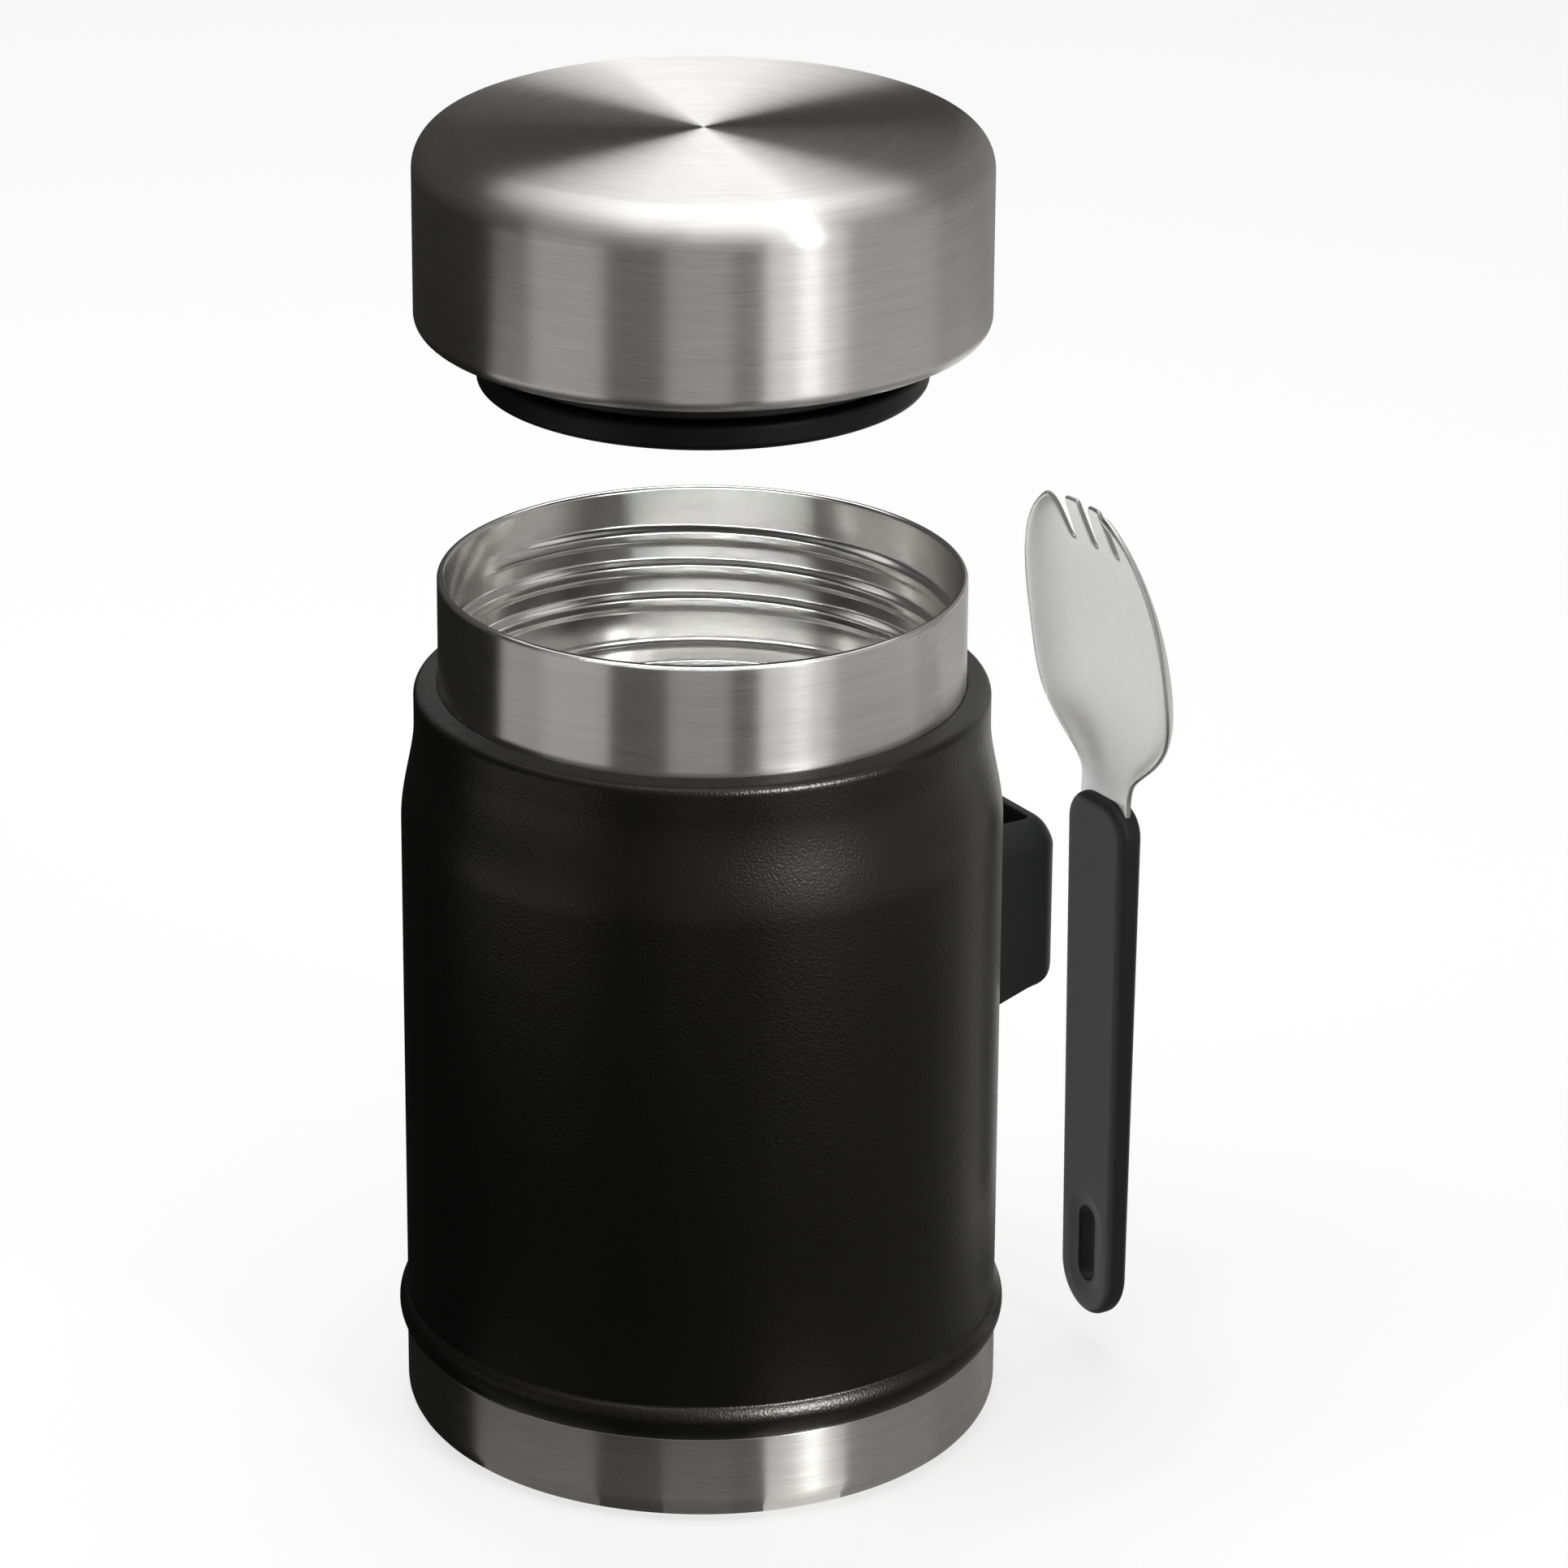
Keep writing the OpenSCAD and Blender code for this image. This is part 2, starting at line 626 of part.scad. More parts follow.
module spork_blade() {
    tip_z = handle_len + blade_len;
    reach = 4 * bowl_depth;
    color(bright) translate([spork_x, spork_y, spork_z]) {
        difference() {
            blade_sheet();
            for (k = [-1, 0, 1]) translate([0, k * tine_step, tip_z - tine_len])
                rotate([90, 0, 90]) linear_extrude(reach, center = true) {
                    polygon([[-tine_root / 2, 0], [tine_root / 2, 0],
                        [tine_gap / 2, tine_len + overrun], [-tine_gap / 2, tine_len + overrun]]);
                    circle(tine_root / 2);
                }
        }
        translate([-blade_t / 2, -tang_w / 2, handle_len - tang_len])
            cube([blade_t, tang_w, tang_len + overrun]);
    }
}

module spork_handle() {
    half = handle_w / 2;
    top_half = half - handle_corner;
    hang_r = hang_w / 2;
    color(black_plastic) translate([spork_x, spork_y, spork_z]) difference() {
        intersection() {
            rotate([90, 0, 90]) linear_extrude(2 * handle_t, center = true) {
                translate([0, half]) circle(half);
                translate([-half, half]) square([handle_w, handle_len - half - handle_corner]);
                translate([-top_half, half]) square([2 * top_half, handle_len - half]);
                for (side = [-1, 1]) translate([side * top_half, handle_len - handle_corner])
                    circle(handle_corner);
            }
            linear_extrude(handle_len) {
                square([handle_t, handle_w - 2 * handle_edge], center = true);
                square([handle_t - 2 * handle_edge, handle_w], center = true);
                for (a = [-1, 1], b = [-1, 1])
                    translate([a * (handle_t / 2 - handle_edge), b * (half - handle_edge)])
                        circle(handle_edge);
            }
        }
        rotate([90, 0, 90]) linear_extrude(2 * handle_t, center = true) {
            translate([0, hang_low + hang_r]) circle(hang_r);
            translate([0, hang_low + hang_len - hang_r]) circle(hang_r);
            translate([-hang_r, hang_low + hang_r]) square([hang_w, hang_len - hang_w]);
        }
        translate([-blade_t / 2 - fit_gap, -tang_w / 2 - fit_gap, handle_len - tang_len - fit_gap])
            cube([blade_t + 2 * fit_gap, tang_w + 2 * fit_gap, tang_len + overrun]);
    }
}

outer_shell();
shell_floor();
vacuum_seal();
getter();
radiation_shield();
inner_vessel();
mouth_thread();
vessel_floor();
neck_band();
base_cup();
loop_bracket();
spork_loop();
lid_cap();
lid_core();
plug_thread();
lid_foam();
stopper_floor();
lid_gasket();
spork_blade();
spork_handle();
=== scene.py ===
# An insulated food jar with its lid lifted off and its spork drawn out of the side loop.
# Everything is in the part's own frame: +Z up the jar's axis, +X through the middle of the loop.
import math
import bpy
import numpy as np
from mathutils import Euler, Matrix, Vector


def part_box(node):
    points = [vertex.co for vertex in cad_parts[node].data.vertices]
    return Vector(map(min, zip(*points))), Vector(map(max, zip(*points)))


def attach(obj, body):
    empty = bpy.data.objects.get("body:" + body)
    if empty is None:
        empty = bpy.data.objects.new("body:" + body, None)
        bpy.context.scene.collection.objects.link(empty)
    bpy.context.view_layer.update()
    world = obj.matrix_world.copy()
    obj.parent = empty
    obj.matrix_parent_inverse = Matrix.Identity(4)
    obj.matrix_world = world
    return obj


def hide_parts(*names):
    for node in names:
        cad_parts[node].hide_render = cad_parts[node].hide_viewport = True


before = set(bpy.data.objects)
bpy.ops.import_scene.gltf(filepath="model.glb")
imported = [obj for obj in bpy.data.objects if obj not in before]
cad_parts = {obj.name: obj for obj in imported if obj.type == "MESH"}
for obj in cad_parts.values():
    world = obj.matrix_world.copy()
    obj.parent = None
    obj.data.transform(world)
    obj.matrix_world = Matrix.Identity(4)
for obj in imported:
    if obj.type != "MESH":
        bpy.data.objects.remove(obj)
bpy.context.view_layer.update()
MM = 0.001

# ---- Inner vessel ----
# One steel bowl, spun in to a sealing ledge, with the screw thread rolled into the wall of its mouth
# and the edge rolled over outwards. Electro-polished to a satin; the thread's crests catch the lamps'
# highlights.


def span(name):
    """Outer radius, foot and top of a turned CAD node, in mm."""
    low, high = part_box(name)
    return high.x / MM, low.z / MM, high.z / MM


def unit(direction):
    """The direction at length 1."""
    return direction / np.linalg.norm(direction)


def outline(corners, closed=False, gap=3.0, arc_steps=9):
    """A section's points, as rows of radius and height in mm, from its corners (radius, height, fillet).
    A fillet is an arc between the points where it leaves its two sides. Along a side, points stand close
    by each end and then evenly, gap apart, or as far apart as the corner's fourth number says."""
    spots = np.array([corner[:2] for corner in corners], float)
    last = len(corners) - 1
    bends = []
    for i, corner in enumerate(corners):
        if corner[2] == 0 or (not closed and i in (0, last)):
            bends.append(spots[i:i + 1])
            continue
        before = unit(spots[i - 1] - spots[i])
        after = unit(spots[(i + 1) % len(corners)] - spots[i])
        half = math.acos(np.clip(before @ after, -1, 1)) / 2
        centre = spots[i] + unit(before + after) * corner[2] / math.sin(half)
        start = unit(spots[i] + before * corner[2] / math.tan(half) - centre)
        end = unit(spots[i] + after * corner[2] / math.tan(half) - centre)
        share = np.linspace(0, 1, arc_steps)[:, None]
        turn = math.pi - 2 * half
        arc = (np.sin((1 - share) * turn) * start + np.sin(share * turn) * end) / math.sin(turn)
        bends.append(centre + corner[2] * arc)
    rows = []
    for i, bend in enumerate(bends):
        rows.append(bend)
        if not closed and i == last:
            break
        side = bends[(i + 1) % len(bends)][0] - bend[-1]
        length = np.linalg.norm(side)
        step = corners[i][3] if len(corners[i]) > 3 else gap
        near = min(END_GAP, length / 4)
        if length > SHORT_SIDE:
            even = np.linspace(near, length - near, max(2, math.ceil(length / step)))
            rows.append(bend[-1] + unit(side) * even[:, None])
    return np.concatenate(rows)


scene = bpy.context.scene


def new_piece(name, points, faces, smooth=True):
    """A mesh of those points, in metres, and faces, as an object in the scene."""
    mesh = bpy.data.meshes.new(name)
    mesh.from_pydata(points, [], faces)
    if smooth:
        mesh.polygons.foreach_set("use_smooth", np.ones(len(mesh.polygons), bool))
    piece = bpy.data.objects.new(name, mesh)
    scene.collection.objects.link(piece)
    return piece


def skin(name, grid, close_rows=False):
    """Joins a grid of points, rows by columns by xyz in metres, into one smooth mesh that faces outwards.
    The columns meet again round the piece, and a row that sits in one spot becomes a single point. The UV
    map "turned" holds the share of the way round and the distance in metres along the first column."""
    rows, columns = grid.shape[:2]
    index = np.arange(rows * columns).reshape(rows, columns)
    poles = np.ptp(grid, axis=1).max(axis=1) < SAME_PLACE
    index[poles] = index[poles, :1]
    used, compact = np.unique(index, return_inverse=True)
    points = grid.reshape(-1, 3)[used]
    index = compact.reshape(rows, columns)
    column = grid[:, 0]
    if close_rows:
        index = np.vstack([index, index[:1]])
        column = np.vstack([column, column[:1]])
    right = np.roll(index, -1, axis=1)
    faces = np.stack([index[:-1], right[:-1], right[1:], index[1:]], axis=-1).reshape(-1, 4)
    along = np.concatenate([[0], np.cumsum(np.linalg.norm(np.diff(column, axis=0), axis=1))])
    around, low = np.meshgrid(np.arange(columns) / columns, along[:-1])
    high = np.broadcast_to(along[1:, None], low.shape)
    ahead = around + 1 / columns
    map_u = np.stack([around, ahead, ahead, around], axis=-1).reshape(-1, 4)
    map_v = np.stack([low, low, high, high], axis=-1).reshape(-1, 4)
    a, b, c, d = points[faces.T]
    if np.sum(a * (np.cross(b, c) + np.cross(c, d))) < 0:
        faces, map_u, map_v = faces[:, ::-1], map_u[:, ::-1], map_v[:, ::-1]
    first = faces[:, 0] == faces[:, 1]
    second = faces[:, 2] == faces[:, 3]
    whole = ~(first | second)
    corners = faces[whole].tolist() + faces[first, 1:].tolist() + faces[second, :3].tolist()
    piece = new_piece(name, points, corners)
    layer = piece.data.uv_layers.new(name="turned")
    flat_u = np.concatenate([map_u[whole].ravel(), map_u[first, 1:].ravel(), map_u[second, :3].ravel()])
    flat_v = np.concatenate([map_v[whole].ravel(), map_v[first, 1:].ravel(), map_v[second, :3].ravel()])
    layer.data.foreach_set("uv", np.stack([flat_u, flat_v], axis=-1).ravel())
    return piece


COLUMNS = 288
FEWER_COLUMNS = 240


def turned(name, corners, closed=False, columns=COLUMNS, shift=None, **spacing):
    """Turns the outline of those corners once round the jar's axis. shift gives the mm that the point at
    each row's radius, height and angle moves out from the axis."""
    section = outline(corners, closed, **spacing)
    angle = np.arange(columns) * 2 * math.pi / columns
    radius = np.repeat(section[:, :1], columns, axis=1)
    height = np.repeat(section[:, 1:], columns, axis=1)
    if shift is not None:
        radius = radius + shift(radius, height, angle)
    grid = np.stack([radius * np.cos(angle), radius * np.sin(angle), height], axis=-1)
    return skin(name, grid * MM, close_rows=closed)


def new_finish(name, colour, metallic, roughness, **fixed):
    """A material with one shader whose constants are set on its own sockets: (material, tree, shader)."""
    material = bpy.data.materials.new(name)
    material.use_nodes = True
    shader = material.node_tree.nodes["Principled BSDF"]
    shader.inputs["Base Color"].default_value = (*colour, 1)
    shader.inputs["Metallic"].default_value = metallic
    shader.inputs["Roughness"].default_value = roughness
    for socket, value in fixed.items():
        shader.inputs[socket.replace("_", " ")].default_value = value
    return material, material.node_tree, shader


def node(tree, kind, *values, settings=(), **named):
    """Adds a node and returns it. Each value goes to its input: a socket is linked, a number is set."""
    made = tree.nodes.new("ShaderNode" + kind)
    for key, value in dict(settings).items():
        setattr(made, key, value)
    targets = list(zip(made.inputs, values))
    targets += [(made.inputs[key.replace("_", " ")], value) for key, value in named.items()]
    for target, value in targets:
        if isinstance(value, bpy.types.NodeSocket):
            tree.links.new(value, target)
        else:
            target.default_value = value
    return made


def calc(tree, operation, *values):
    """The result of one Math node."""
    return node(tree, "Math", *values, settings={"operation": operation}).outputs[0]


def between(tree, amount, low, high):
    """amount, from 0 to 1, carried over to the range from low to high."""
    return node(tree, "MapRange", amount, 0.0, 1.0, low, high).outputs[0]


def colour_by(tree, shader, amount, dark, light):
    """The colour goes from dark to light as amount goes from 0 to 1."""
    ramp = node(tree, "ValToRGB", amount)
    for stop, colour in zip(ramp.color_ramp.elements, (dark, light)):
        stop.color = (*colour, 1)
    tree.links.new(ramp.outputs[0], shader.inputs["Base Color"])


def roughen_by(tree, shader, amount, low, high):
    """The roughness goes from low to high as amount goes from 0 to 1."""
    tree.links.new(between(tree, amount, low, high), shader.inputs["Roughness"])


def raise_marks(tree, shader, height, depth, strength=1.0):
    """Turns a pattern of heights from 0 to 1 into relief of that depth in metres."""
    bump = node(tree, "Bump", Strength=strength, Distance=depth, Height=height)
    tree.links.new(bump.outputs[0], shader.inputs["Normal"])


def round_marks(tree, mark_length, mark_width, detail):
    """Fine marks that run round the axis on the UV map "turned": noise that is slow along the turn and
    quick across it. mark_length is a share of the radius and mark_width is in metres. Returns 0 to 1."""
    split = node(tree, "SeparateXYZ", node(tree, "UVMap", settings={"uv_map": "turned"}).outputs[0])
    angle = calc(tree, "MULTIPLY", split.outputs[0], 2 * math.pi)
    along_x = calc(tree, "MULTIPLY", calc(tree, "COSINE", angle), 1 / mark_length)
    along_y = calc(tree, "MULTIPLY", calc(tree, "SINE", angle), 1 / mark_length)
    across = calc(tree, "MULTIPLY", split.outputs[1], 1 / mark_width)
    place = node(tree, "CombineXYZ", along_x, along_y, across)
    return node(tree, "TexNoise", Vector=place.outputs[0], Scale=1.0, Detail=detail).outputs[0]


BRUSH_STRETCH = 0.93
BRUSH_RELIEF = 0.15
BROAD_SHARE = 0.3


def brushed_finish(name, dark, light, rough_low, rough_high, stretch=BRUSH_STRETCH):
    """Stainless steel brushed round the axis: the tone, the gloss and a shallow relief follow the brush
    marks, and highlights stretch across them."""
    material, tree, shader = new_finish(
        name, light, 1.0, rough_low, Anisotropic=stretch, Anisotropic_Rotation=0.25)
    fine = round_marks(tree, mark_length=0.16, mark_width=0.00013, detail=5.0)
    broad = round_marks(tree, mark_length=1.2, mark_width=0.0011, detail=2.0)
    marks = node(tree, "Mix", BROAD_SHARE, settings={"data_type": "FLOAT"})
    tree.links.new(fine, marks.inputs[2])
    tree.links.new(broad, marks.inputs[3])
    marks = node(tree, "MapRange", marks.outputs[0], 0.3, 0.7, 0.0, 1.0).outputs[0]
    colour_by(tree, shader, marks, dark, light)
    roughen_by(tree, shader, fine, rough_low, rough_high)
    grain = node(tree, "Tangent", settings={"direction_type": "UV_MAP", "uv_map": "turned"})
    tree.links.new(grain.outputs[0], shader.inputs["Tangent"])
    raise_marks(tree, shader, fine, 0.00001, BRUSH_RELIEF)
    return material


END_GAP = 0.2
SHORT_SIDE = 1.0
SAME_PLACE = 1e-9
DEBURRED = 0.1
VESSEL_WALL = 0.55
RIM_T = 1.15
SEAL_DEPTH = 25.0
SEAL_IN = 7.3
THROAT_BAND = 1.5
THROAT_H = 9.0
CHAMBER_ROUND = 9.0
THREAD_PITCH = 5.3
THREAD_TURNS = 2.4
THREAD_RIDGE = 1.15
THREAD_W = 3.4
THREAD_DROP = 5.0
THREAD_START = math.radians(123)
THREAD_FADE = 12
THREAD_FLANK = 0.36
THROAT_ROUND = 6.0
FLOOR_LAP = 0.02
FLOOR_ROUND = 8.8
THREAD_CLEAR = 1.0

vessel_out_r, vessel_foot, rim_z = span("inner_vessel")
neck_r, neck_foot, neck_top = span("neck_band")
mouth_r = neck_r - RIM_T
vessel_r = vessel_out_r - VESSEL_WALL
vessel_floor_z = vessel_foot + VESSEL_WALL
seal_z = rim_z - SEAL_DEPTH
seal_r = mouth_r - SEAL_IN
throat_z = seal_z - THROAT_BAND
chamber_z = throat_z - THROAT_H
ROLL = RIM_T / 2 - 0.01


def smooth(share):
    """Rises from 0 to 1 with level ends as share goes from 0 to 1."""
    share = np.clip(share, 0, 1)
    return share * share * (3 - 2 * share)


def rolled_thread(radius, height, angle):
    """The wall moves in by THREAD_RIDGE where a rounded ridge, THREAD_W wide, winds down by one pitch a
    turn from its start. The ridge fades in and out over 1 / THREAD_FADE of a turn."""
    turn = np.mod(THREAD_START - angle, 2 * math.pi) / (2 * math.pi)
    passes = (rim_z - THREAD_DROP - THREAD_W / 2 - height) / THREAD_PITCH - turn
    nearest = np.clip(np.round(passes), 0, None)
    done = turn + nearest
    off = np.abs(passes - nearest) * THREAD_PITCH
    ends = smooth(done * THREAD_FADE) * smooth((THREAD_TURNS - done) * THREAD_FADE)
    on_wall = (np.abs(radius - mouth_r - VESSEL_WALL / 2) < VESSEL_WALL) & (height > seal_z + THREAD_CLEAR)
    return -THREAD_RIDGE * on_wall * ends * smooth((THREAD_W / 2 - off) / (THREAD_W * THREAD_FLANK))


vessel = turned("inner_vessel_steel", [
    (vessel_r - CHAMBER_ROUND + FLOOR_LAP, vessel_floor_z, DEBURRED),
    (vessel_r, vessel_floor_z, FLOOR_ROUND),
    (vessel_r, chamber_z, THROAT_ROUND),
    (seal_r, throat_z, 1.2),
    (seal_r, seal_z, 0.5),
    (mouth_r, seal_z, 1.2, 0.22),
    (mouth_r, rim_z, ROLL),
    (neck_r, rim_z, ROLL),
    (neck_r, neck_top, 0.05),
    (mouth_r + VESSEL_WALL, neck_top, 0.05, 0.4),
    (mouth_r + VESSEL_WALL, seal_z - VESSEL_WALL, 1.2),
    (seal_r + VESSEL_WALL, seal_z - VESSEL_WALL, 0.2),
    (seal_r + VESSEL_WALL, throat_z, 0.8),
    (vessel_out_r, chamber_z, THROAT_ROUND),
    (vessel_out_r, vessel_foot, CHAMBER_ROUND),
    (vessel_r - CHAMBER_ROUND + FLOOR_LAP, vessel_foot, DEBURRED),
], closed=True, shift=rolled_thread)
vessel_steel = brushed_finish(
    "vessel_steel", (0.69, 0.68, 0.66), (0.82, 0.815, 0.80), 0.16, 0.21, stretch=0.6)
vessel.data.materials.append(vessel_steel)
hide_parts("inner_vessel", "mouth_thread")
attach(vessel, "jar")

# ---- Floor of the vessel ----
# A steel disc welded into the bottom of the bowl, its middle pressed up a little to stiffen it.
# It is of the bowl's own steel and is finished with it.
floor_r, floor_low, floor_top = span("vessel_floor")
PRESSED_R = 15.0
PRESSED_UP = 0.4
PRESSED_RAMP = 5.0
PRESSED_ROUND = 6.0
vessel_floor = turned("vessel_floor_disc", [
    (0, floor_top + PRESSED_UP, 0),
    (PRESSED_R, floor_top + PRESSED_UP, PRESSED_ROUND),
    (PRESSED_R + PRESSED_RAMP, floor_top, PRESSED_ROUND),
    (floor_r, floor_top, DEBURRED),
    (floor_r, floor_low, DEBURRED),
    (0, floor_low, 0),
], columns=FEWER_COLUMNS)
vessel_floor.data.materials.append(vessel_steel)
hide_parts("vessel_floor")
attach(vessel_floor, "jar")

# ---- Foil and getter in the vacuum space ----
# Bright copper foil is wrapped round the vessel against radiant heat, and a sintered pill takes up gas.
# Both are shut in between the walls for good, so they stay as the part has them.


def dress(name, finish):
    """Puts a finish on a CAD node that stays as it is."""
    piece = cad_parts[name]
    piece.data.materials.clear()
    piece.data.materials.append(finish)


def speckle(tree, size, detail=3.0):
    """Noise of that grain size, in metres, on the piece's own coordinates. Returns 0 to 1."""
    place = node(tree, "TexCoord").outputs["Object"]
    return node(tree, "TexNoise", Vector=place, Scale=1 / size, Detail=detail).outputs[0]


copper_foil, tree, shader = new_finish("copper_foil", (0.72, 0.42, 0.28), 1.0, 0.3)
creases = speckle(tree, 0.006)
colour_by(tree, shader, creases, (0.62, 0.34, 0.21), (0.82, 0.50, 0.34))
raise_marks(tree, shader, creases, 0.0003)
dress("radiation_shield", copper_foil)
sintered, tree, shader = new_finish("sintered_metal", (0.35, 0.36, 0.37), 1.0, 0.65)
grains = speckle(tree, 0.0005)
colour_by(tree, shader, grains, (0.25, 0.26, 0.27), (0.45, 0.46, 0.47))
raise_marks(tree, shader, grains, 0.0001)
dress("getter", sintered)

# ---- Neck band ----
# A ring of stainless steel strip, brushed round the axis, welded to the vessel under its rolled rim.
# The turned-in lip of the shell closes round its lower end.
BRUSHED_DARK = (0.50, 0.49, 0.475)
BRUSHED_LIGHT = (0.66, 0.655, 0.64)
BRUSHED_ROUGH = (0.24, 0.34)
FIT_GAP = 0.05
neck_bore = mouth_r + VESSEL_WALL + FIT_GAP

brushed_steel = brushed_finish("brushed_steel", BRUSHED_DARK, BRUSHED_LIGHT, *BRUSHED_ROUGH)
neck = turned("neck_band_steel", [
    (neck_r, neck_foot, DEBURRED),
    (neck_r, neck_top, 0.06),
    (neck_bore, neck_top, 0.05),
    (neck_bore, neck_foot, DEBURRED),
], closed=True)
neck.data.materials.append(brushed_steel)
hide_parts("neck_band")
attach(neck, "jar")

# ---- Outer shell ----
# Deep-drawn steel with a bead rolled in above its lower edge, narrowed at the shoulder and turned in over
# a rounded lip to the neck. Powder-coated black with a fine pebbled grain.
SHELL_WALL = 0.8
BODY_IN = 1.25
BEAD_H = 5.2
LEDGE_FALL = 0.6
LIP_IN = 2.05
LIP_ROUND = 1.3
LIP_BAND = 6.0
SHOULDER_H = 15.0
BEAD_STEPS = 17
SHOULDER_STEPS = 19

shell_out_r, seam_z, ledge_z = span("outer_shell")
body_r = shell_out_r - BODY_IN
lip_r = body_r - LIP_IN
shoulder_top = ledge_z - LIP_BAND


def bead_side():
    """Corners along the bead: one arc that leaves the body, stands out by BODY_IN and comes back."""
    arc_r = (BEAD_H * BEAD_H / 4 + BODY_IN * BODY_IN) / (2 * BODY_IN)
    height = np.linspace(-BEAD_H / 2, BEAD_H / 2, BEAD_STEPS)
    radius = shell_out_r - arc_r + np.sqrt(arc_r * arc_r - height * height)
    return [(r, seam_z + BEAD_H / 2 + z, 0) for r, z in zip(radius[1:-1], height[1:-1])]


def shoulder_side(step, inset):
    """Corners along the shoulder: the radius falls to the lip's with level ends."""
    share = np.linspace(0, 1, SHOULDER_STEPS)[::step]
    radius = body_r - LIP_IN * smooth(share) - inset
    return [(r, shoulder_top - SHOULDER_H * (1 - t), 0) for r, t in zip(radius, share)]


shell = turned("outer_shell_coated", [
    (body_r - SHELL_WALL, seam_z, DEBURRED),
    (body_r, seam_z, 0.25),
    *bead_side(),
    (body_r, seam_z + BEAD_H, 0.6),
    *shoulder_side(1, 0),
    (lip_r, ledge_z - LEDGE_FALL, LIP_ROUND),
    (neck_r + FIT_GAP, ledge_z, 0.35),
    (neck_r + FIT_GAP, ledge_z - SHELL_WALL, DEBURRED),
    (lip_r - SHELL_WALL, ledge_z - SHELL_WALL - LEDGE_FALL, 0.5),
    *shoulder_side(-1, SHELL_WALL),
], closed=True)
black_coat, tree, shader = new_finish("black_coat", (0.0032, 0.0032, 0.0031), 0.0, 0.32,
                                      Specular_IOR_Level=0.26, Specular_Tint=(1.0, 0.965, 0.91, 1.0))
pebbles = speckle(tree, 0.00038, 2.0)
clouds = speckle(tree, 0.03)
colour_by(tree, shader, pebbles, (0.0022, 0.0022, 0.0021), (0.0042, 0.0041, 0.004))
roughen_by(tree, shader, clouds, 0.3, 0.34)
raise_marks(tree, shader, pebbles, 0.0001, 0.65)
shell.data.materials.append(black_coat)
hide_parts("outer_shell")
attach(shell, "jar")

# ---- Shell floor and its seal ----
# A plain steel disc closes the shell below the vacuum, and a bead of solder stops its pumping hole.
# The base cup hides both, so they stay as the part has them.
raw_steel, tree, shader = new_finish("raw_steel", (0.5, 0.5, 0.49), 1.0, 0.4)
rolling = speckle(tree, 0.002)
colour_by(tree, shader, rolling, (0.44, 0.44, 0.43), (0.56, 0.56, 0.55))
roughen_by(tree, shader, rolling, 0.33, 0.47)
dress("shell_floor", raw_steel)
dress("vacuum_seal", sintered)

# ---- Base cup ----
# A shallow steel cup pushed up into the shell. Its side is brushed round the axis like the neck, its foot
# is rounded, and its underside is recessed so that it stands on a ring.
FOOT_ROUND = 4.0
CUP_WALL = 1.0
RECESS_R = 30.0
RECESS_UP = 0.4
RECESS_RAMP = 1.0
SPIGOT_GAP = 0.1
cup_r, _, spigot_top = span("base_cup")
spigot_r = body_r - SHELL_WALL - SPIGOT_GAP
cup = turned("base_cup_steel", [
    (0, RECESS_UP, 0),
    (RECESS_R, RECESS_UP, RECESS_RAMP),
    (RECESS_R + RECESS_RAMP, 0, RECESS_RAMP),
    (cup_r, 0, FOOT_ROUND),
    (cup_r, seam_z, 0.2),
    (spigot_r, seam_z, DEBURRED),
    (spigot_r, spigot_top, 0.3),
    (spigot_r - CUP_WALL, spigot_top, 0.3),
    (spigot_r - CUP_WALL, CUP_WALL + RECESS_UP, FOOT_ROUND - CUP_WALL),
    (0, CUP_WALL + RECESS_UP, 0),
])
cup.data.materials.append(brushed_steel)
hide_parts("base_cup")
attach(cup, "jar")

# ---- Loop bracket ----
# A T-shaped steel rail spot-welded to the shell, on which the plastic loop slides down and snaps.
# The loop hides it, so it stays as the part has it.
dress("loop_bracket", raw_steel)

# ---- Spork loop ----
# A moulded sleeve of black plastic that hugs the shell. Its slot takes the spork's handle, a slanted band
# runs round its top, and its underside sweeps up and round to the outer face.
LOOP_SIDE_STEPS = 14
LOOP_CORNER_STEPS = 8
LOOP_EDGE = 3.0
BAND_H = 4.8
BAND_IN = 1.3
BAND_FRONT_IN = 3.4
BAND_ROUND = 0.5
UNDER_RISE = 3.6
UNDER_ROUND = 5.0
SLOT_IN = 3.05
SLOT_FRONT = 4.5
SLOT_CHEEK = 1.8
SLOT_EDGE = 1.2
SHELL_GAP = 0.1
BACK_ROUND = 0.3
BAND_FADE = 1.0
LIP_ROLL = 0.4
LIP_EDGE = 1.5
SLOT_ROWS = 12
LIP_TURNS = (30, 60)
TOP_SHARES = (0, 0.15, 0.5, 0.8, 0.93)
BAND_SHARES = (0.04, 0.12, 0.25, 0.4, 0.55, 0.7, 0.85, 0.96, 1)
WALL_SHARES = (0.03, 0.2, 0.5, 0.8, 0.97, 1)
UNDER_SHARES = (0.03, 0.08, 0.16, 0.28, 0.45, 0.7, 0.95)
SOFT_EDGE = 0.35
SOFT_FROM = math.radians(28)

loop_low, loop_high = (np.array(corner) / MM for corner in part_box("spork_loop"))
loop_half = loop_high[1]
loop_face = loop_high[0]


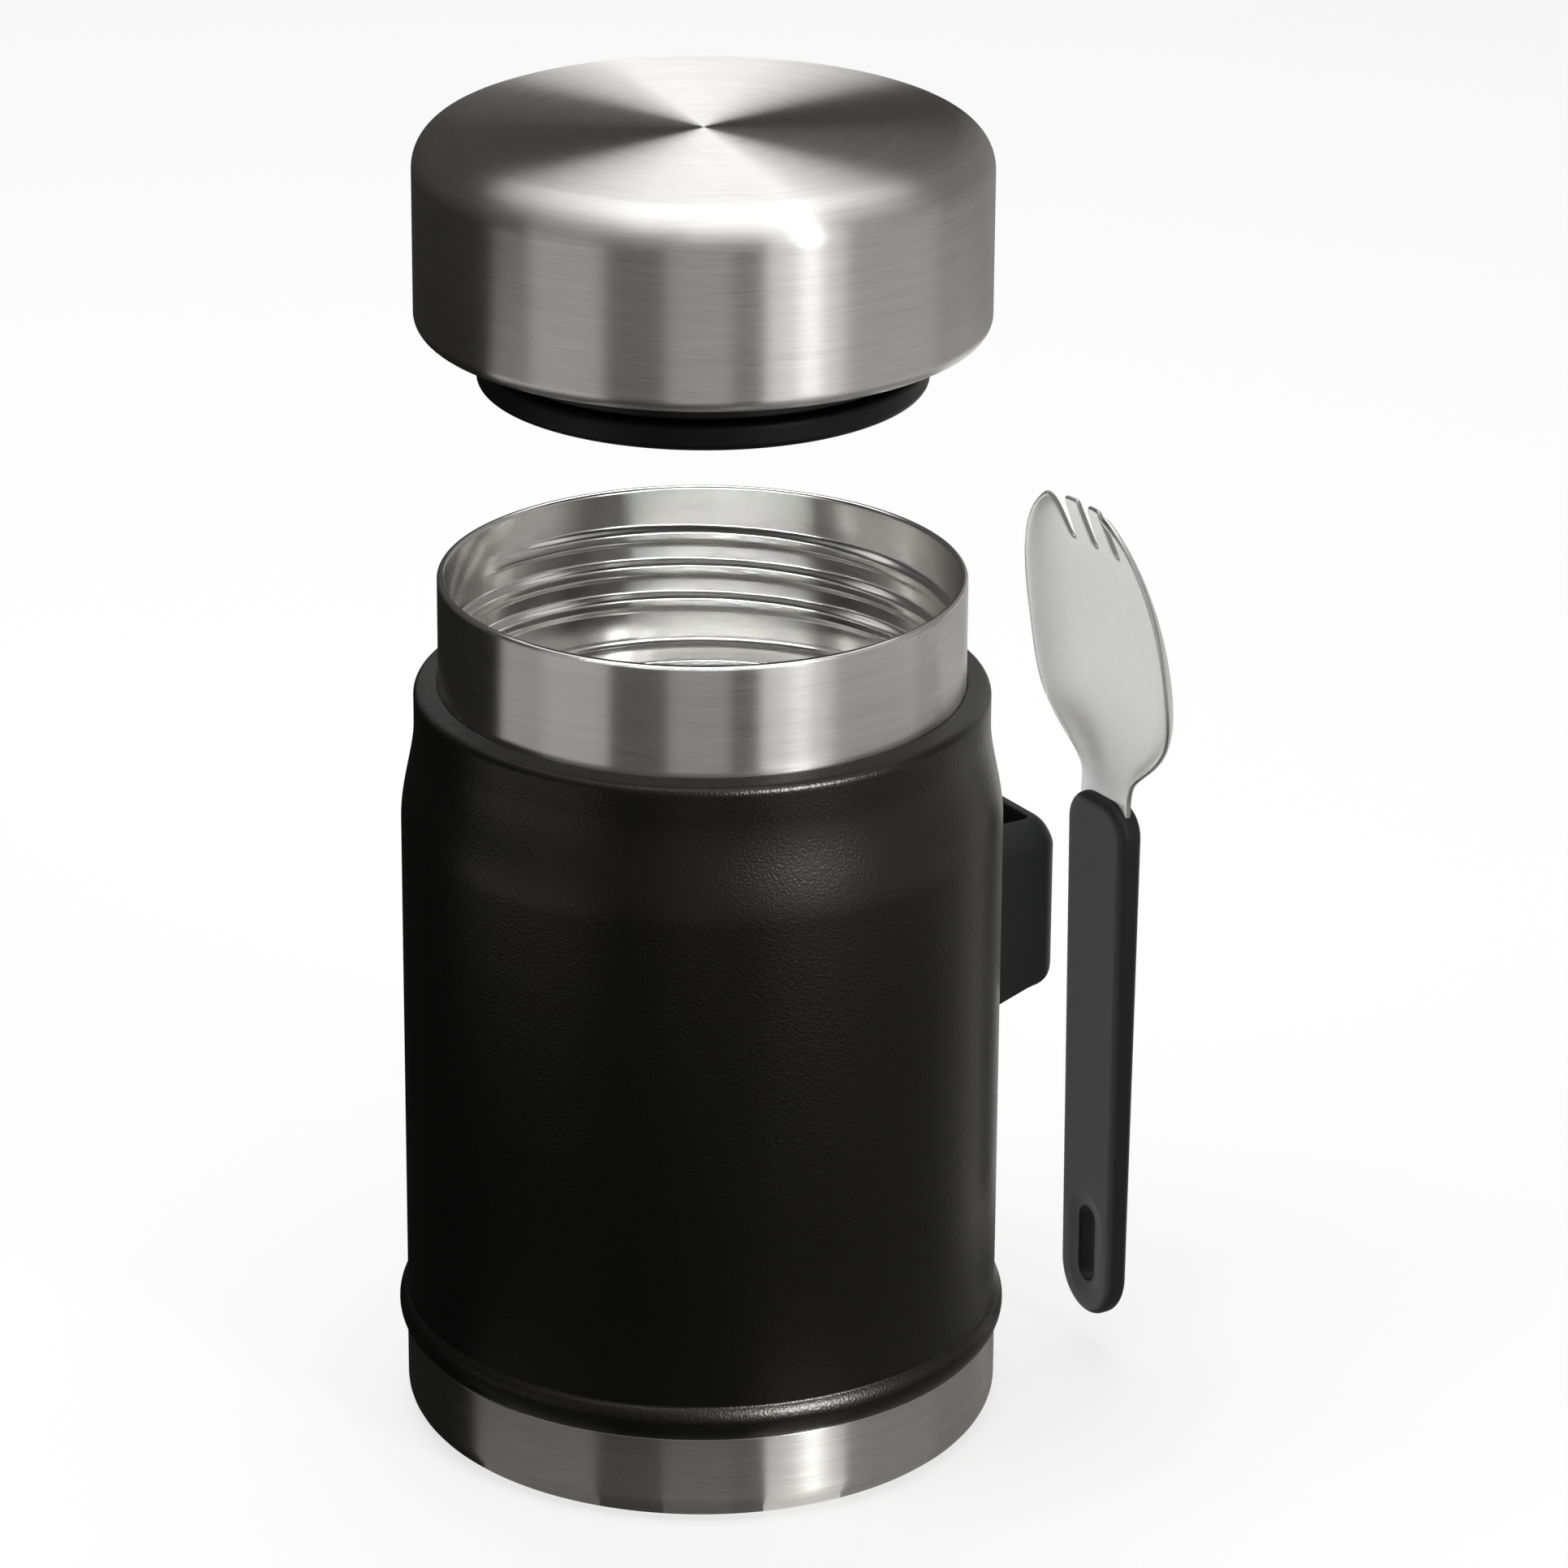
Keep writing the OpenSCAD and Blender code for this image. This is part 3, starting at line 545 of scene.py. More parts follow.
def ring_plan(back, front, half, back_round, front_round):
    """Points in plan round a block, anticlockwise from the front's lower end: four sides and four corner
    arcs, each with as many points whatever the block's size, so that two such rings match."""
    corners = [(front - front_round, half - front_round, front_round, 0),
               (back + back_round, half - back_round, back_round, 90),
               (back + back_round, back_round - half, back_round, 180),
               (front - front_round, front_round - half, front_round, 270)]
    turn = np.radians(np.linspace(0, 90, LOOP_CORNER_STEPS))[:, None]
    arcs = []
    for x, y, r, start in corners:
        angle = turn + math.radians(start)
        arcs.append(np.array([x, y]) + r * np.hstack([np.cos(angle), np.sin(angle)]))
    share = np.linspace(0, 1, LOOP_SIDE_STEPS)[1:-1, None]
    ring = []
    for arc, following in zip(arcs, arcs[1:] + arcs[:1]):
        ring += [arc, arc[-1] + share * (following[0] - arc[-1])]
    return np.concatenate(ring)


def hug_shell(ring, back):
    """The back of the ring follows the round of the shell instead of a straight line."""
    ring = ring.copy()
    shell_x = np.sqrt((body_r + SHELL_GAP) ** 2 - ring[:, 1] ** 2)
    lean = smooth((ring[:, 0] - back) / (slot_back - back))
    ring[:, 0] = lean * ring[:, 0] + (1 - lean) * shell_x
    return ring


def underside(x):
    """Height of the loop's underside: a straight rise from the shell, then a round up to the face."""
    foot = body_r - 2 * SLOT_CHEEK
    bend = loop_face - UNDER_ROUND
    rise = UNDER_RISE * np.clip((x - foot) / (bend - foot), 0, 1)
    past = np.clip(x - bend, 0, UNDER_ROUND)
    turn = UNDER_ROUND - np.sqrt(np.clip(UNDER_ROUND ** 2 - past ** 2, 0, None))
    return loop_low[2] + rise + turn


slot_back = body_r + SLOT_IN
slot_front = loop_face - SLOT_FRONT
slot_half = loop_half - SLOT_CHEEK
loop_back = float(np.sqrt((body_r + SHELL_GAP) ** 2 - loop_half ** 2))
outer_ring = hug_shell(ring_plan(loop_back, loop_face, loop_half, BACK_ROUND, LOOP_EDGE), loop_back)
top_ring = hug_shell(ring_plan(loop_back, loop_face - BAND_FRONT_IN, loop_half - BAND_IN, BACK_ROUND,
                               LOOP_EDGE - BAND_IN), loop_back)
slot_ring = ring_plan(slot_back, slot_front, slot_half, SLOT_EDGE, SLOT_EDGE)
slot_lip = ring_plan(
    slot_back - LIP_ROLL, slot_front + LIP_ROLL, slot_half + LIP_ROLL, LIP_EDGE, LIP_EDGE)
loop_top = loop_high[2]


def loop_row(ring, height):
    """One row of the loop's skin: a ring in plan at that height, or at a height for each point."""
    return np.column_stack([ring, np.broadcast_to(height, len(ring))])


def loop_rows():
    """Rows from the slot's lower edge up its wall, over the rim, down the slanted band and the outer wall,
    and back under the loop to the slot."""
    slot_foot = underside(slot_ring[:, 0])
    slot_rise = loop_top - LIP_ROLL - slot_foot
    rows = [loop_row(slot_ring, slot_foot + slot_rise * t) for t in np.linspace(0, 1, SLOT_ROWS)]
    for turn in LIP_TURNS:
        angle = math.radians(turn)
        ring = slot_ring + (slot_lip - slot_ring) * (1 - math.cos(angle))
        rows.append(loop_row(ring, loop_top - LIP_ROLL + LIP_ROLL * math.sin(angle)))
    rows += [loop_row(slot_lip + (top_ring - slot_lip) * t, loop_top) for t in TOP_SHARES]
    behind = (loop_half - np.abs(outer_ring[:, 1])) / BAND_IN
    faded = BAND_H * (1 - np.clip(behind, 0, 1))
    drop = np.where(outer_ring[:, 0] < slot_back - BAND_FADE, faded, BAND_H)
    for t in BAND_SHARES:
        out = (1 - BAND_ROUND) * t + BAND_ROUND * math.sin(t * math.pi / 2)
        down = (1 - BAND_ROUND) * t + BAND_ROUND * (1 - math.cos(t * math.pi / 2))
        rows.append(loop_row(top_ring + (outer_ring - top_ring) * out, loop_top - drop * down))
    foot = underside(outer_ring[:, 0])
    wall_top = loop_top - drop
    rows += [loop_row(outer_ring, wall_top + (foot - wall_top) * t) for t in WALL_SHARES]
    for t in UNDER_SHARES:
        ring = outer_ring + (slot_ring - outer_ring) * t
        rows.append(loop_row(ring, underside(ring[:, 0])))
    return np.array(rows)


loop = skin("spork_loop_plastic", loop_rows() * MM, close_rows=True)
bevel = loop.modifiers.new("soft_edges", "BEVEL")
bevel.width = SOFT_EDGE * MM
bevel.segments = 3
bevel.limit_method = "ANGLE"
bevel.angle_limit = SOFT_FROM

CLOUD_DARK = 0.9
CLOUD_LIGHT = 1.12
GRAIN_SMOOTHER = 0.05
GRAIN_ROUGHER = 0.07


def moulded_finish(name, colour, roughness, sheen):
    """Moulded plastic: an even colour with a faint cloud in it and a fine spark-eroded grain."""
    material, tree, shader = new_finish(name, colour, 0.0, roughness, Specular_IOR_Level=sheen)
    cloud = speckle(tree, 0.012)
    fine = speckle(tree, 0.0003, 1.0)
    colour_by(tree, shader, cloud, [CLOUD_DARK * c for c in colour], [CLOUD_LIGHT * c for c in colour])
    roughen_by(tree, shader, fine, roughness - GRAIN_SMOOTHER, roughness + GRAIN_ROUGHER)
    raise_marks(tree, shader, fine, 0.00001, 0.4)
    return material


loop_plastic = moulded_finish("loop_plastic", (0.027, 0.028, 0.028), 0.5, 0.4)
loop.data.materials.append(loop_plastic)
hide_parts("spork_loop")
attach(loop, "jar")

# ---- Lid core ----
# A black plastic moulding: a liner inside the steel cap, a channel that closes over the rim, and a hollow
# plug that carries the thread, steps in to a waist and ends in the spigot for the gasket.
CORE_WALL = 1.8
CHANNEL_GAP = 0.45
WAIST_IN = 0.8
SEAT_IN = 2.6
LINER_UP = 2.2
STEP_UP = 0.3
WAIST_GAP = 0.3
cap_r, cap_foot, cap_top = span("lid_cap")
core_r, core_foot, core_top = span("lid_core")
gasket_r, gasket_foot, gasket_top = span("lid_gasket")
flange_r, flange_foot, stopper_top = span("stopper_floor")
thread_r, _, plug_top = span("plug_thread")
plug_r = thread_r - THREAD_RIDGE
plug_bore = plug_r - CORE_WALL
waist_r = gasket_r - WAIST_IN
seat_r = gasket_r - SEAT_IN
seat_bore = seat_r - CORE_WALL
channel_z = core_top - CORE_WALL
liner_foot = cap_foot + LINER_UP
liner_r = neck_r + CHANNEL_GAP
step_z = cap_foot + STEP_UP
waist_z = gasket_top + WAIST_GAP
core = turned("lid_core_plastic", [
    (seat_bore, core_foot, 0.2),
    (seat_r, core_foot, 0.3),
    (seat_r, waist_z, 0.2),
    (waist_r, waist_z, 0.5),
    (waist_r, step_z, 0.6),
    (plug_r, step_z, 0.8),
    (plug_r, channel_z, 0.8),
    (liner_r, channel_z, 0.8),
    (liner_r, liner_foot, 0.3),
    (core_r, liner_foot, 0.3),
    (core_r, core_top, 1.2),
    (plug_bore, core_top, 0.4),
    (plug_bore, step_z + CORE_WALL, 0.4),
    (seat_bore, step_z + CORE_WALL, 0.4),
], closed=True, columns=FEWER_COLUMNS)
core_plastic = moulded_finish("core_plastic", (0.005, 0.005, 0.0052), 0.36, 0.22)
core.data.materials.append(core_plastic)
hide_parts("lid_core")
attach(core, "lid")

# ---- Thread on the plug ----
# A rounded ridge moulded on the plug, which engages under the rolled thread of the mouth.
# It is one with the core's plastic, and winds down two turns.
PLUG_TURNS = 2.0
RIDGE_STEPS = 9
TURN_STEPS = 96
RIDGE_FADE = 16
RIDGE_FLANK = 0.72
RIDGE_W = 2.9
RIDGE_SINK = 0.1
RIDGE_BACK = 0.3


def wound_ridge():
    """Sections of the ridge along its helix: each is a half wave that stands out of the plug and closes
    behind its wall, and it grows from nothing and fades again over 1 / RIDGE_FADE of a turn."""
    turn = np.linspace(0, PLUG_TURNS, int(PLUG_TURNS * TURN_STEPS) + 1)[:, None]
    across = np.linspace(-1, 1, RIDGE_STEPS)
    ends = smooth(turn * RIDGE_FADE) * smooth((PLUG_TURNS - turn) * RIDGE_FADE)
    wave = smooth((1 - np.abs(across)) / RIDGE_FLANK)
    radius = plug_r - RIDGE_SINK + (THREAD_RIDGE + RIDGE_SINK) * ends * wave
    height = plug_top - THREAD_W / 2 - THREAD_PITCH * turn + across * RIDGE_W / 2
    angle = np.broadcast_to(-2 * math.pi * turn, height.shape)
    front = np.stack([radius * np.cos(angle), radius * np.sin(angle), height], axis=-1)
    behind = np.broadcast_to(plug_r - RIDGE_BACK, height.shape)
    back = np.stack([behind * np.cos(angle), behind * np.sin(angle), height], axis=-1)
    tube = np.concatenate([front, back[:, ::-1]], axis=1)
    caps = tube[[0, -1]].mean(axis=1, keepdims=True).repeat(tube.shape[1], axis=1)
    return np.concatenate([caps[:1], tube, caps[1:]])


plug_thread = skin("plug_thread_plastic", wound_ridge() * MM)
plug_thread.data.materials.append(core_plastic)
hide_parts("plug_thread")
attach(plug_thread, "lid")

# ---- Foam in the lid ----
# Cream polyurethane foam fills the plug and the space under the cap, where it is injected and sets.
# It is shut in, so it stays as the part has it.
foam, tree, shader = new_finish("insulating_foam", (0.85, 0.83, 0.76), 0.0, 0.9)
cells = speckle(tree, 0.0008)
colour_by(tree, shader, cells, (0.74, 0.71, 0.62), (0.90, 0.88, 0.81))
raise_marks(tree, shader, cells, 0.0002)
dress("lid_foam", foam)

# ---- Stopper floor ----
# A black plastic disc welded into the end of the plug. Its flange holds the gasket on.
# Its underside is sunk a little in the middle.
BUTTON_R = 9.0
BUTTON_UP = 0.35
BUTTON_RAMP = 1.5
BUTTON_ROUND = 2.0
FLANGE_T = 1.0
stopper_r = seat_bore - FIT_GAP
stopper = turned("stopper_floor_plastic", [
    (0, flange_foot + BUTTON_UP, 0),
    (BUTTON_R, flange_foot + BUTTON_UP, BUTTON_ROUND),
    (BUTTON_R + BUTTON_RAMP, flange_foot, BUTTON_ROUND),
    (flange_r, flange_foot, 0.5),
    (flange_r, flange_foot + FLANGE_T, DEBURRED),
    (stopper_r, flange_foot + FLANGE_T, DEBURRED),
    (stopper_r, stopper_top, 0.2),
    (0, stopper_top, 0),
], columns=FEWER_COLUMNS)
stopper.data.materials.append(core_plastic)
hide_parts("stopper_floor")
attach(stopper, "lid")

# ---- Gasket ----
# A ring of black silicone rubber with a full round outer lip, which is pressed on to the sealing ledge.
# It is moulded, and stretched over the flange into its seat.
GASKET_GAP = 0.3
GASKET_HEEL = 1.45
gasket = turned("lid_gasket_rubber", [
    (flange_r + GASKET_GAP, gasket_foot, 0.25),
    (gasket_r, gasket_foot, 1.1),
    (gasket_r, gasket_top, 1.0),
    (seat_r + GASKET_GAP, gasket_top, 0.3),
    (seat_r + GASKET_GAP, gasket_foot + GASKET_HEEL, DEBURRED),
    (flange_r + GASKET_GAP, gasket_foot + GASKET_HEEL, DEBURRED),
], closed=True)
gasket_rubber = moulded_finish("gasket_rubber", (0.004, 0.0045, 0.0052), 0.42, 0.18)
gasket.data.materials.append(gasket_rubber)
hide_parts("lid_gasket")
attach(gasket, "lid_seal")

# ---- Lid cap ----
# Stainless steel sheet drawn into a cap with a rounded shoulder, its foot turned in under the liner.
# The top is brushed in circles and the side round the axis.
CAP_WALL = 0.8
CAP_TOP_ROUND = 5.7
CAP_FOOT_ROUND = 2.2
TOP_ROUGHER = 0.09
TOP_EDGE = 1.0
cap = turned("lid_cap_steel", [
    (0, cap_top, 0),
    (cap_r, cap_top, CAP_TOP_ROUND),
    (cap_r, cap_foot, CAP_FOOT_ROUND),
    (cap_r - CAP_FOOT_ROUND, cap_foot, 0.2),
    (cap_r - CAP_FOOT_ROUND, cap_foot + CAP_WALL, DEBURRED),
    (cap_r - CAP_WALL, cap_foot + CAP_WALL, CAP_FOOT_ROUND - CAP_WALL),
    (cap_r - CAP_WALL, cap_top - CAP_WALL, CAP_TOP_ROUND - CAP_WALL),
    (0, cap_top - CAP_WALL, 0),
], gap=1.5, arc_steps=15)
lid_steel = brushed_finish("lid_steel", BRUSHED_DARK, BRUSHED_LIGHT, *BRUSHED_ROUGH)
tree = lid_steel.node_tree
shader = tree.nodes["Principled BSDF"]
height = node(tree, "SeparateXYZ", node(tree, "TexCoord").outputs["Object"]).outputs[2]
shoulder_low = (cap_top - CAP_TOP_ROUND) * MM
shoulder_high = (cap_top - TOP_EDGE) * MM
on_top = node(tree, "MapRange", height, shoulder_low, shoulder_high, 0.0, 1.0).outputs[0]
wider = calc(tree, "MULTIPLY", on_top, TOP_ROUGHER)
side_rough = shader.inputs["Roughness"].links[0].from_socket
tree.links.new(calc(tree, "ADD", side_rough, wider), shader.inputs["Roughness"])
tree.links.new(between(tree, on_top, BRUSH_STRETCH, 1.0), shader.inputs["Anisotropic"])
cap.data.materials.append(lid_steel)
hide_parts("lid_cap")
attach(cap, "lid")

# ---- Spork blade ----
# One millimetre of stainless steel, blanked, pressed into a bowl and tumble-polished, with four tines cut
# into its tip. Its tang is moulded into the handle. The cut edge has a darker copy of the steel: a painted
# dark reflection along the edge, where the real blade is one metal.
BLADE_T = 1.0
BLADE_HALF = 17.4
BLADE_NECK = 6.0
BOWL_DEPTH = 5.4
TIP_LEAN = 7.0
TINE_LEN = 7.4
TINE_STEP = 5.6
TINE_ROOT = 0.6
TINE_GAP = 1.3
TINES = 4
TINE_FACES = 5
TINE_ROWS = 7
BLADE_ROWS = 26
INTO_HANDLE = 3.0
SWELL_FROM = 0.06
SWELL_LEN = 0.135
SWELL_POWER = 1.6
FALL_FROM = 0.5
FALL_SHARE = 0.84
FALL_POWER = 2.6
LEAN_POWER = 1.5
BOWL_LOW = 0.75
BOWL_POWER = 1.1
TIP_DISH = 1.6
SIDE_POWER = 3.6
CUT_FROM = 0.42
blade_high = np.array(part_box("spork_blade")[1]) / MM
grip_low, grip_high = (np.array(corner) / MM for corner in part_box("spork_handle"))
spork_x, spork_y = ((grip_low + grip_high) / 2)[:2]
blade_foot = grip_high[2]
blade_len = blade_high[2] - blade_foot


def blade_half_width(v):
    """Half width at a share v of the blade's length: a quick swell from the neck to the full width, then
    an ellipse-like fall to two fifths of it at the tip."""
    swell = 1 - np.exp(-(np.clip(v - SWELL_FROM, 0, None) / SWELL_LEN) ** SWELL_POWER)
    fall = np.sqrt(1 - FALL_SHARE * np.clip((v - FALL_FROM) / (1 - FALL_FROM), 0, 1) ** FALL_POWER)
    return (BLADE_NECK + (BLADE_HALF - BLADE_NECK) * swell) * fall


def blade_place(v, u):
    """The sheet's middle at a share v along the blade and u across it from -1 to 1: the edges lean towards
    the jar at the tip, and the bowl is deepest below the middle and steepest near its sides."""
    lean = -TIP_LEAN * np.clip(v, 0, 1) ** LEAN_POWER
    bowl = BOWL_DEPTH * np.sin(math.pi * np.clip(v, 0, 1) ** BOWL_LOW) ** BOWL_POWER + TIP_DISH * v * v
    return spork_x + lean + bowl * (1 - np.abs(u) ** SIDE_POWER)


def blade_points():
    """Rows along the blade, with lines across it that spread evenly low down and draw together on the
    sides of the gaps by their roots."""
    root = 1 - TINE_LEN / blade_len
    body_v = np.linspace(-INTO_HANDLE / blade_len, root, BLADE_ROWS)
    v = np.concatenate([body_v, np.linspace(root, 1, TINE_ROWS)[1:]])[:, None]
    half = blade_half_width(v)
    gap = TINE_ROOT + (TINE_GAP - TINE_ROOT) * np.clip((v - root) / (1 - root), 0, 1)
    share = np.linspace(0, 1, TINE_FACES + 1)
    tines = []
    for k in range(TINES):
        left = -half if k == 0 else (k - TINES // 2) * TINE_STEP + gap
        right = half if k == TINES - 1 else (k + 1 - TINES // 2) * TINE_STEP - gap
        tines.append(left + (right - left) * share)
    cut = np.hstack(tines)
    even = half * np.linspace(-1, 1, cut.shape[1])
    y = even + (cut - even) * smooth((v - CUT_FROM) / (root - CUT_FROM))
    place = np.stack([blade_place(v, y / half), spork_y + y,
                      np.broadcast_to(blade_foot + blade_len * v, y.shape)], axis=-1)
    return place, v[:, 0] > root - 1e-6


def grid_faces(rows, columns):
    """The four-sided faces between the points of an open grid, by row and column."""
    index = np.arange(rows * columns).reshape(rows, columns)
    return np.stack([index[:-1, :-1], index[:-1, 1:], index[1:, 1:], index[1:, :-1]], axis=-1)


def sheet(name, place, open_rows):
    """Joins the blade's grid of points into one sheet, without the faces between the tines."""
    faces = grid_faces(*place.shape[:2])
    is_gap = np.arange(faces.shape[1]) % (TINE_FACES + 1) == TINE_FACES
    kept = faces[~(open_rows[:-1, None] & is_gap[None])]
    return new_piece(name, place.reshape(-1, 3) * MM, kept.tolist())


blade = sheet("spork_blade_steel", *blade_points())
thickness = blade.modifiers.new("sheet_thickness", "SOLIDIFY")
thickness.thickness = BLADE_T * MM
thickness.offset = 0
thickness.use_even_offset = True
# The sheet's rim takes the second material, the darker steel that paints a dark reflection along the edge.
thickness.material_offset_rim = 1
rounding = blade.modifiers.new("tumbled_edges", "SUBSURF")
rounding.levels = 2
rounding.render_levels = 2
spork_steel, tree, shader = new_finish("spork_steel", (0.78, 0.78, 0.77), 1.0, 0.55)
tumbling = speckle(tree, 0.0012, 5.0)
colour_by(tree, shader, tumbling, (0.74, 0.74, 0.73), (0.83, 0.83, 0.82))
roughen_by(tree, shader, tumbling, 0.52, 0.6)
raise_marks(tree, shader, tumbling, 0.00001, 0.3)
blade.data.materials.append(spork_steel)
# Painted reflection: the edge's steel is darker than the faces' to draw a dark line along it; on the real
# blade both are the same metal.
painted_dark_edge, tree, shader = new_finish("painted_dark_edge", (0.4, 0.4, 0.4), 1.0, 0.35)
dark_edge_speckle = speckle(tree, 0.0004)
colour_by(tree, shader, dark_edge_speckle, (0.32, 0.32, 0.32), (0.48, 0.48, 0.48))
blade.data.materials.append(painted_dark_edge)
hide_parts("spork_blade")
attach(blade, "spork")

# ---- Spork handle ----
# Black plastic moulded over the tang: a flat bar with rounded edges, a half-round lower end and a slot to
# hang it by, with a soft dish round the slot on the front.
GRIP_EDGE = 1.5
GRIP_CORNER = 5.0
HANG_HALF = 2.3
HANG_LEN = 12.6
HANG_LOW = 5.4
DISH_W = 2.7
DISH_DEPTH = 0.4
SLOT_ROUND = 0.1
GRIP_THINS = 0.17
GRIP_NARROWS = 0.1
ARC_POINTS = 40
SIDE_POINTS = 30
TOP_POINTS = 24
EDGE_ROWS = 8
DISH_ROWS = 9
GRIP_WALL_SHARES = (0, 0.5, 0.95)
GRIP_FACE_SHARES = (0.02, 0.08, 0.3, 0.6, 0.9)
SLOT_TURNS = (30, 60, 90)
SLOT_MIDDLE = 0.4
grip_half = (grip_high[1] - grip_low[1]) / 2
grip_t = (grip_high[0] - grip_low[0]) / 2
grip_len = grip_high[2] - grip_low[2]


def arc(y, z, radius, start, end, count):
    """Points on an arc in the handle's plan, from one angle in degrees to another."""
    angle = np.radians(np.linspace(start, end, count))
    return np.column_stack([y + radius * np.cos(angle), z + radius * np.sin(angle)])


def straight(start, end, count):
    """Points between two others, without the others."""
    share = np.linspace(0, 1, count + 2)[1:-1, None]
    return start + (end - start) * share


def grip_ring(inset):
    """The handle's outline drawn in by an inset: a half circle, two sides and two rounded corners."""
    half = grip_half - inset
    corner = GRIP_CORNER - inset
    low = arc(0, grip_half, half, 180, 360, ARC_POINTS)
    third = TOP_POINTS // 3
    top_z = grip_len - inset - corner
    right = arc(half - corner, top_z, corner, 0, 90, third)
    left = arc(corner - half, top_z, corner, 90, 180, third)
    return np.concatenate([low, straight(low[-1], right[0], SIDE_POINTS), right,
                           straight(right[-1], left[0], TOP_POINTS - 2 * third), left,
                           straight(left[-1], low[0], SIDE_POINTS)])


def hang_ring(out):
    """The hanging slot's outline grown by a distance, with as many points as the handle's outline."""
    radius = HANG_HALF + out
    low_z = HANG_LOW + HANG_HALF
    high_z = HANG_LOW + HANG_LEN - HANG_HALF
    low = arc(0, low_z, radius, 180, 360, ARC_POINTS)
    high = arc(0, high_z, radius, 0, 180, TOP_POINTS)
    return np.concatenate([low, straight(low[-1], high[0], SIDE_POINTS), high,
                           straight(high[-1], low[0], SIDE_POINTS)])


def grip_rows(depth):
    """Rows from the middle of the side wall over the rounded edge, across the face, down a dish of that
    depth and round the slot's edge to the middle of its wall."""
    rows = [(grip_ring(0), t * (grip_t - GRIP_EDGE)) for t in GRIP_WALL_SHARES]
    for angle in np.radians(np.linspace(0, 90, EDGE_ROWS)):
        inset = GRIP_EDGE * (1 - math.cos(angle))
        rows.append((grip_ring(inset), grip_t - GRIP_EDGE * (1 - math.sin(angle))))
    face, dish = grip_ring(GRIP_EDGE), hang_ring(DISH_W)
    rows += [(face + (dish - face) * t, grip_t) for t in GRIP_FACE_SHARES]
    for t in np.linspace(0, 1, DISH_ROWS):
        out = DISH_W + (SLOT_ROUND - DISH_W) * t
        rows.append((hang_ring(out), grip_t - depth * float(smooth(t))))
    low = grip_t - depth
    for angle in np.radians(SLOT_TURNS):
        out = SLOT_ROUND * (1 - math.sin(angle))
        rows.append((hang_ring(out), low - SLOT_ROUND * (1 - math.cos(angle))))
    rows.append((hang_ring(0), SLOT_MIDDLE * low))
    return rows


def grip_points():
    """Both faces of the handle as one closed grid, the dished front first. Towards the lower end the
    handle narrows and thins evenly."""
    rows = [(ring, -x) for ring, x in grip_rows(DISH_DEPTH)]
    rows += [(ring, x) for ring, x in grip_rows(0)[:0:-1]]
    points = np.array([np.column_stack([np.full(len(ring), x), ring]) for ring, x in rows])
    down = 1 - np.clip(points[..., 2] / grip_len, 0, 1)
    points[..., 0] *= 1 - GRIP_THINS * down
    points[..., 1] *= 1 - GRIP_NARROWS * down
    return points + np.array([spork_x, spork_y, grip_low[2]])


grip = skin("spork_handle_plastic", grip_points() * MM, close_rows=True)
handle_plastic = moulded_finish("handle_plastic", (0.0125, 0.0125, 0.0137), 0.46, 0.3)
grip.data.materials.append(handle_plastic)
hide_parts("spork_handle")
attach(grip, "spork")

# ---- Floor and backdrop ----
# A plain white floor. It shows white to the camera and in reflections, less the object's soft shadow.
# The world round it is white where it is seen, and dimmer as a light.
FLOOR_R = 6.0
FLOOR_SIDES = 96
FLOOR_TONE = 0.35
WHITE_ADD = 0.68
AMBIENT = 0.35


def seen_background(tree):
    """1 where a camera, glossy or transmitted ray looks, and 0 elsewhere."""
    path = node(tree, "LightPath")
    seen = calc(tree, "MAXIMUM", path.outputs["Is Camera Ray"], path.outputs["Is Glossy Ray"])
    return calc(tree, "MAXIMUM", seen, path.outputs["Is Transmission Ray"])


def bare_tree(owner):
    """The node tree of a material or a world, emptied."""
    owner.use_nodes = True
    owner.node_tree.nodes.clear()
    return owner.node_tree


def flat_disc(name, radius):
    """A level disc of many sides at the origin, in metres."""
    angle = np.arange(FLOOR_SIDES) * 2 * math.pi / FLOOR_SIDES
    points = np.column_stack([radius * np.cos(angle), radius * np.sin(angle), np.zeros(FLOOR_SIDES)])
    return new_piece(name, points, [list(range(FLOOR_SIDES))], smooth=False)


floor = flat_disc("floor", FLOOR_R)
floor_white = bpy.data.materials.new("floor_white")
tree = bare_tree(floor_white)
matt = node(tree, "BsdfDiffuse", (FLOOR_TONE, FLOOR_TONE, FLOOR_TONE, 1))
glow = node(tree, "Emission", (1, 1, 1, 1), calc(tree, "MULTIPLY", seen_background(tree), WHITE_ADD))
both = node(tree, "AddShader", matt.outputs[0], glow.outputs[0])
node(tree, "OutputMaterial", both.outputs[0])
floor.data.materials.append(floor_white)

world = bpy.data.worlds.new("studio")
scene.world = world
tree = bare_tree(world)
level = between(tree, seen_background(tree), AMBIENT, 1.0)
node(tree, "OutputWorld", node(tree, "Background", (1, 1, 1, 1), level).outputs[0])

# ---- Studio cards ----
# Cards sweep up from the floor round the jar. Most are grey or black, and parts of those that draw streaks
# are brighter than white. Only reflections see them, and between them the steel shows the background.
CAMERA_SIDE = math.radians(-122.0)
CARD_NEAR = 0.0447
CARD_UNDER = 0.041
CARD_OUT = 0.7
CARD_TOP = 0.85
CARD_FOOT = 0.0003
CARD_ROWS = 24
CARD_STEP = 2
TONE_PLACES = (0.076, 0.088, 0.222, 0.238, 0.258, 0.29, 0.55)
CARD_TINT = (1.0, 0.985, 0.96)


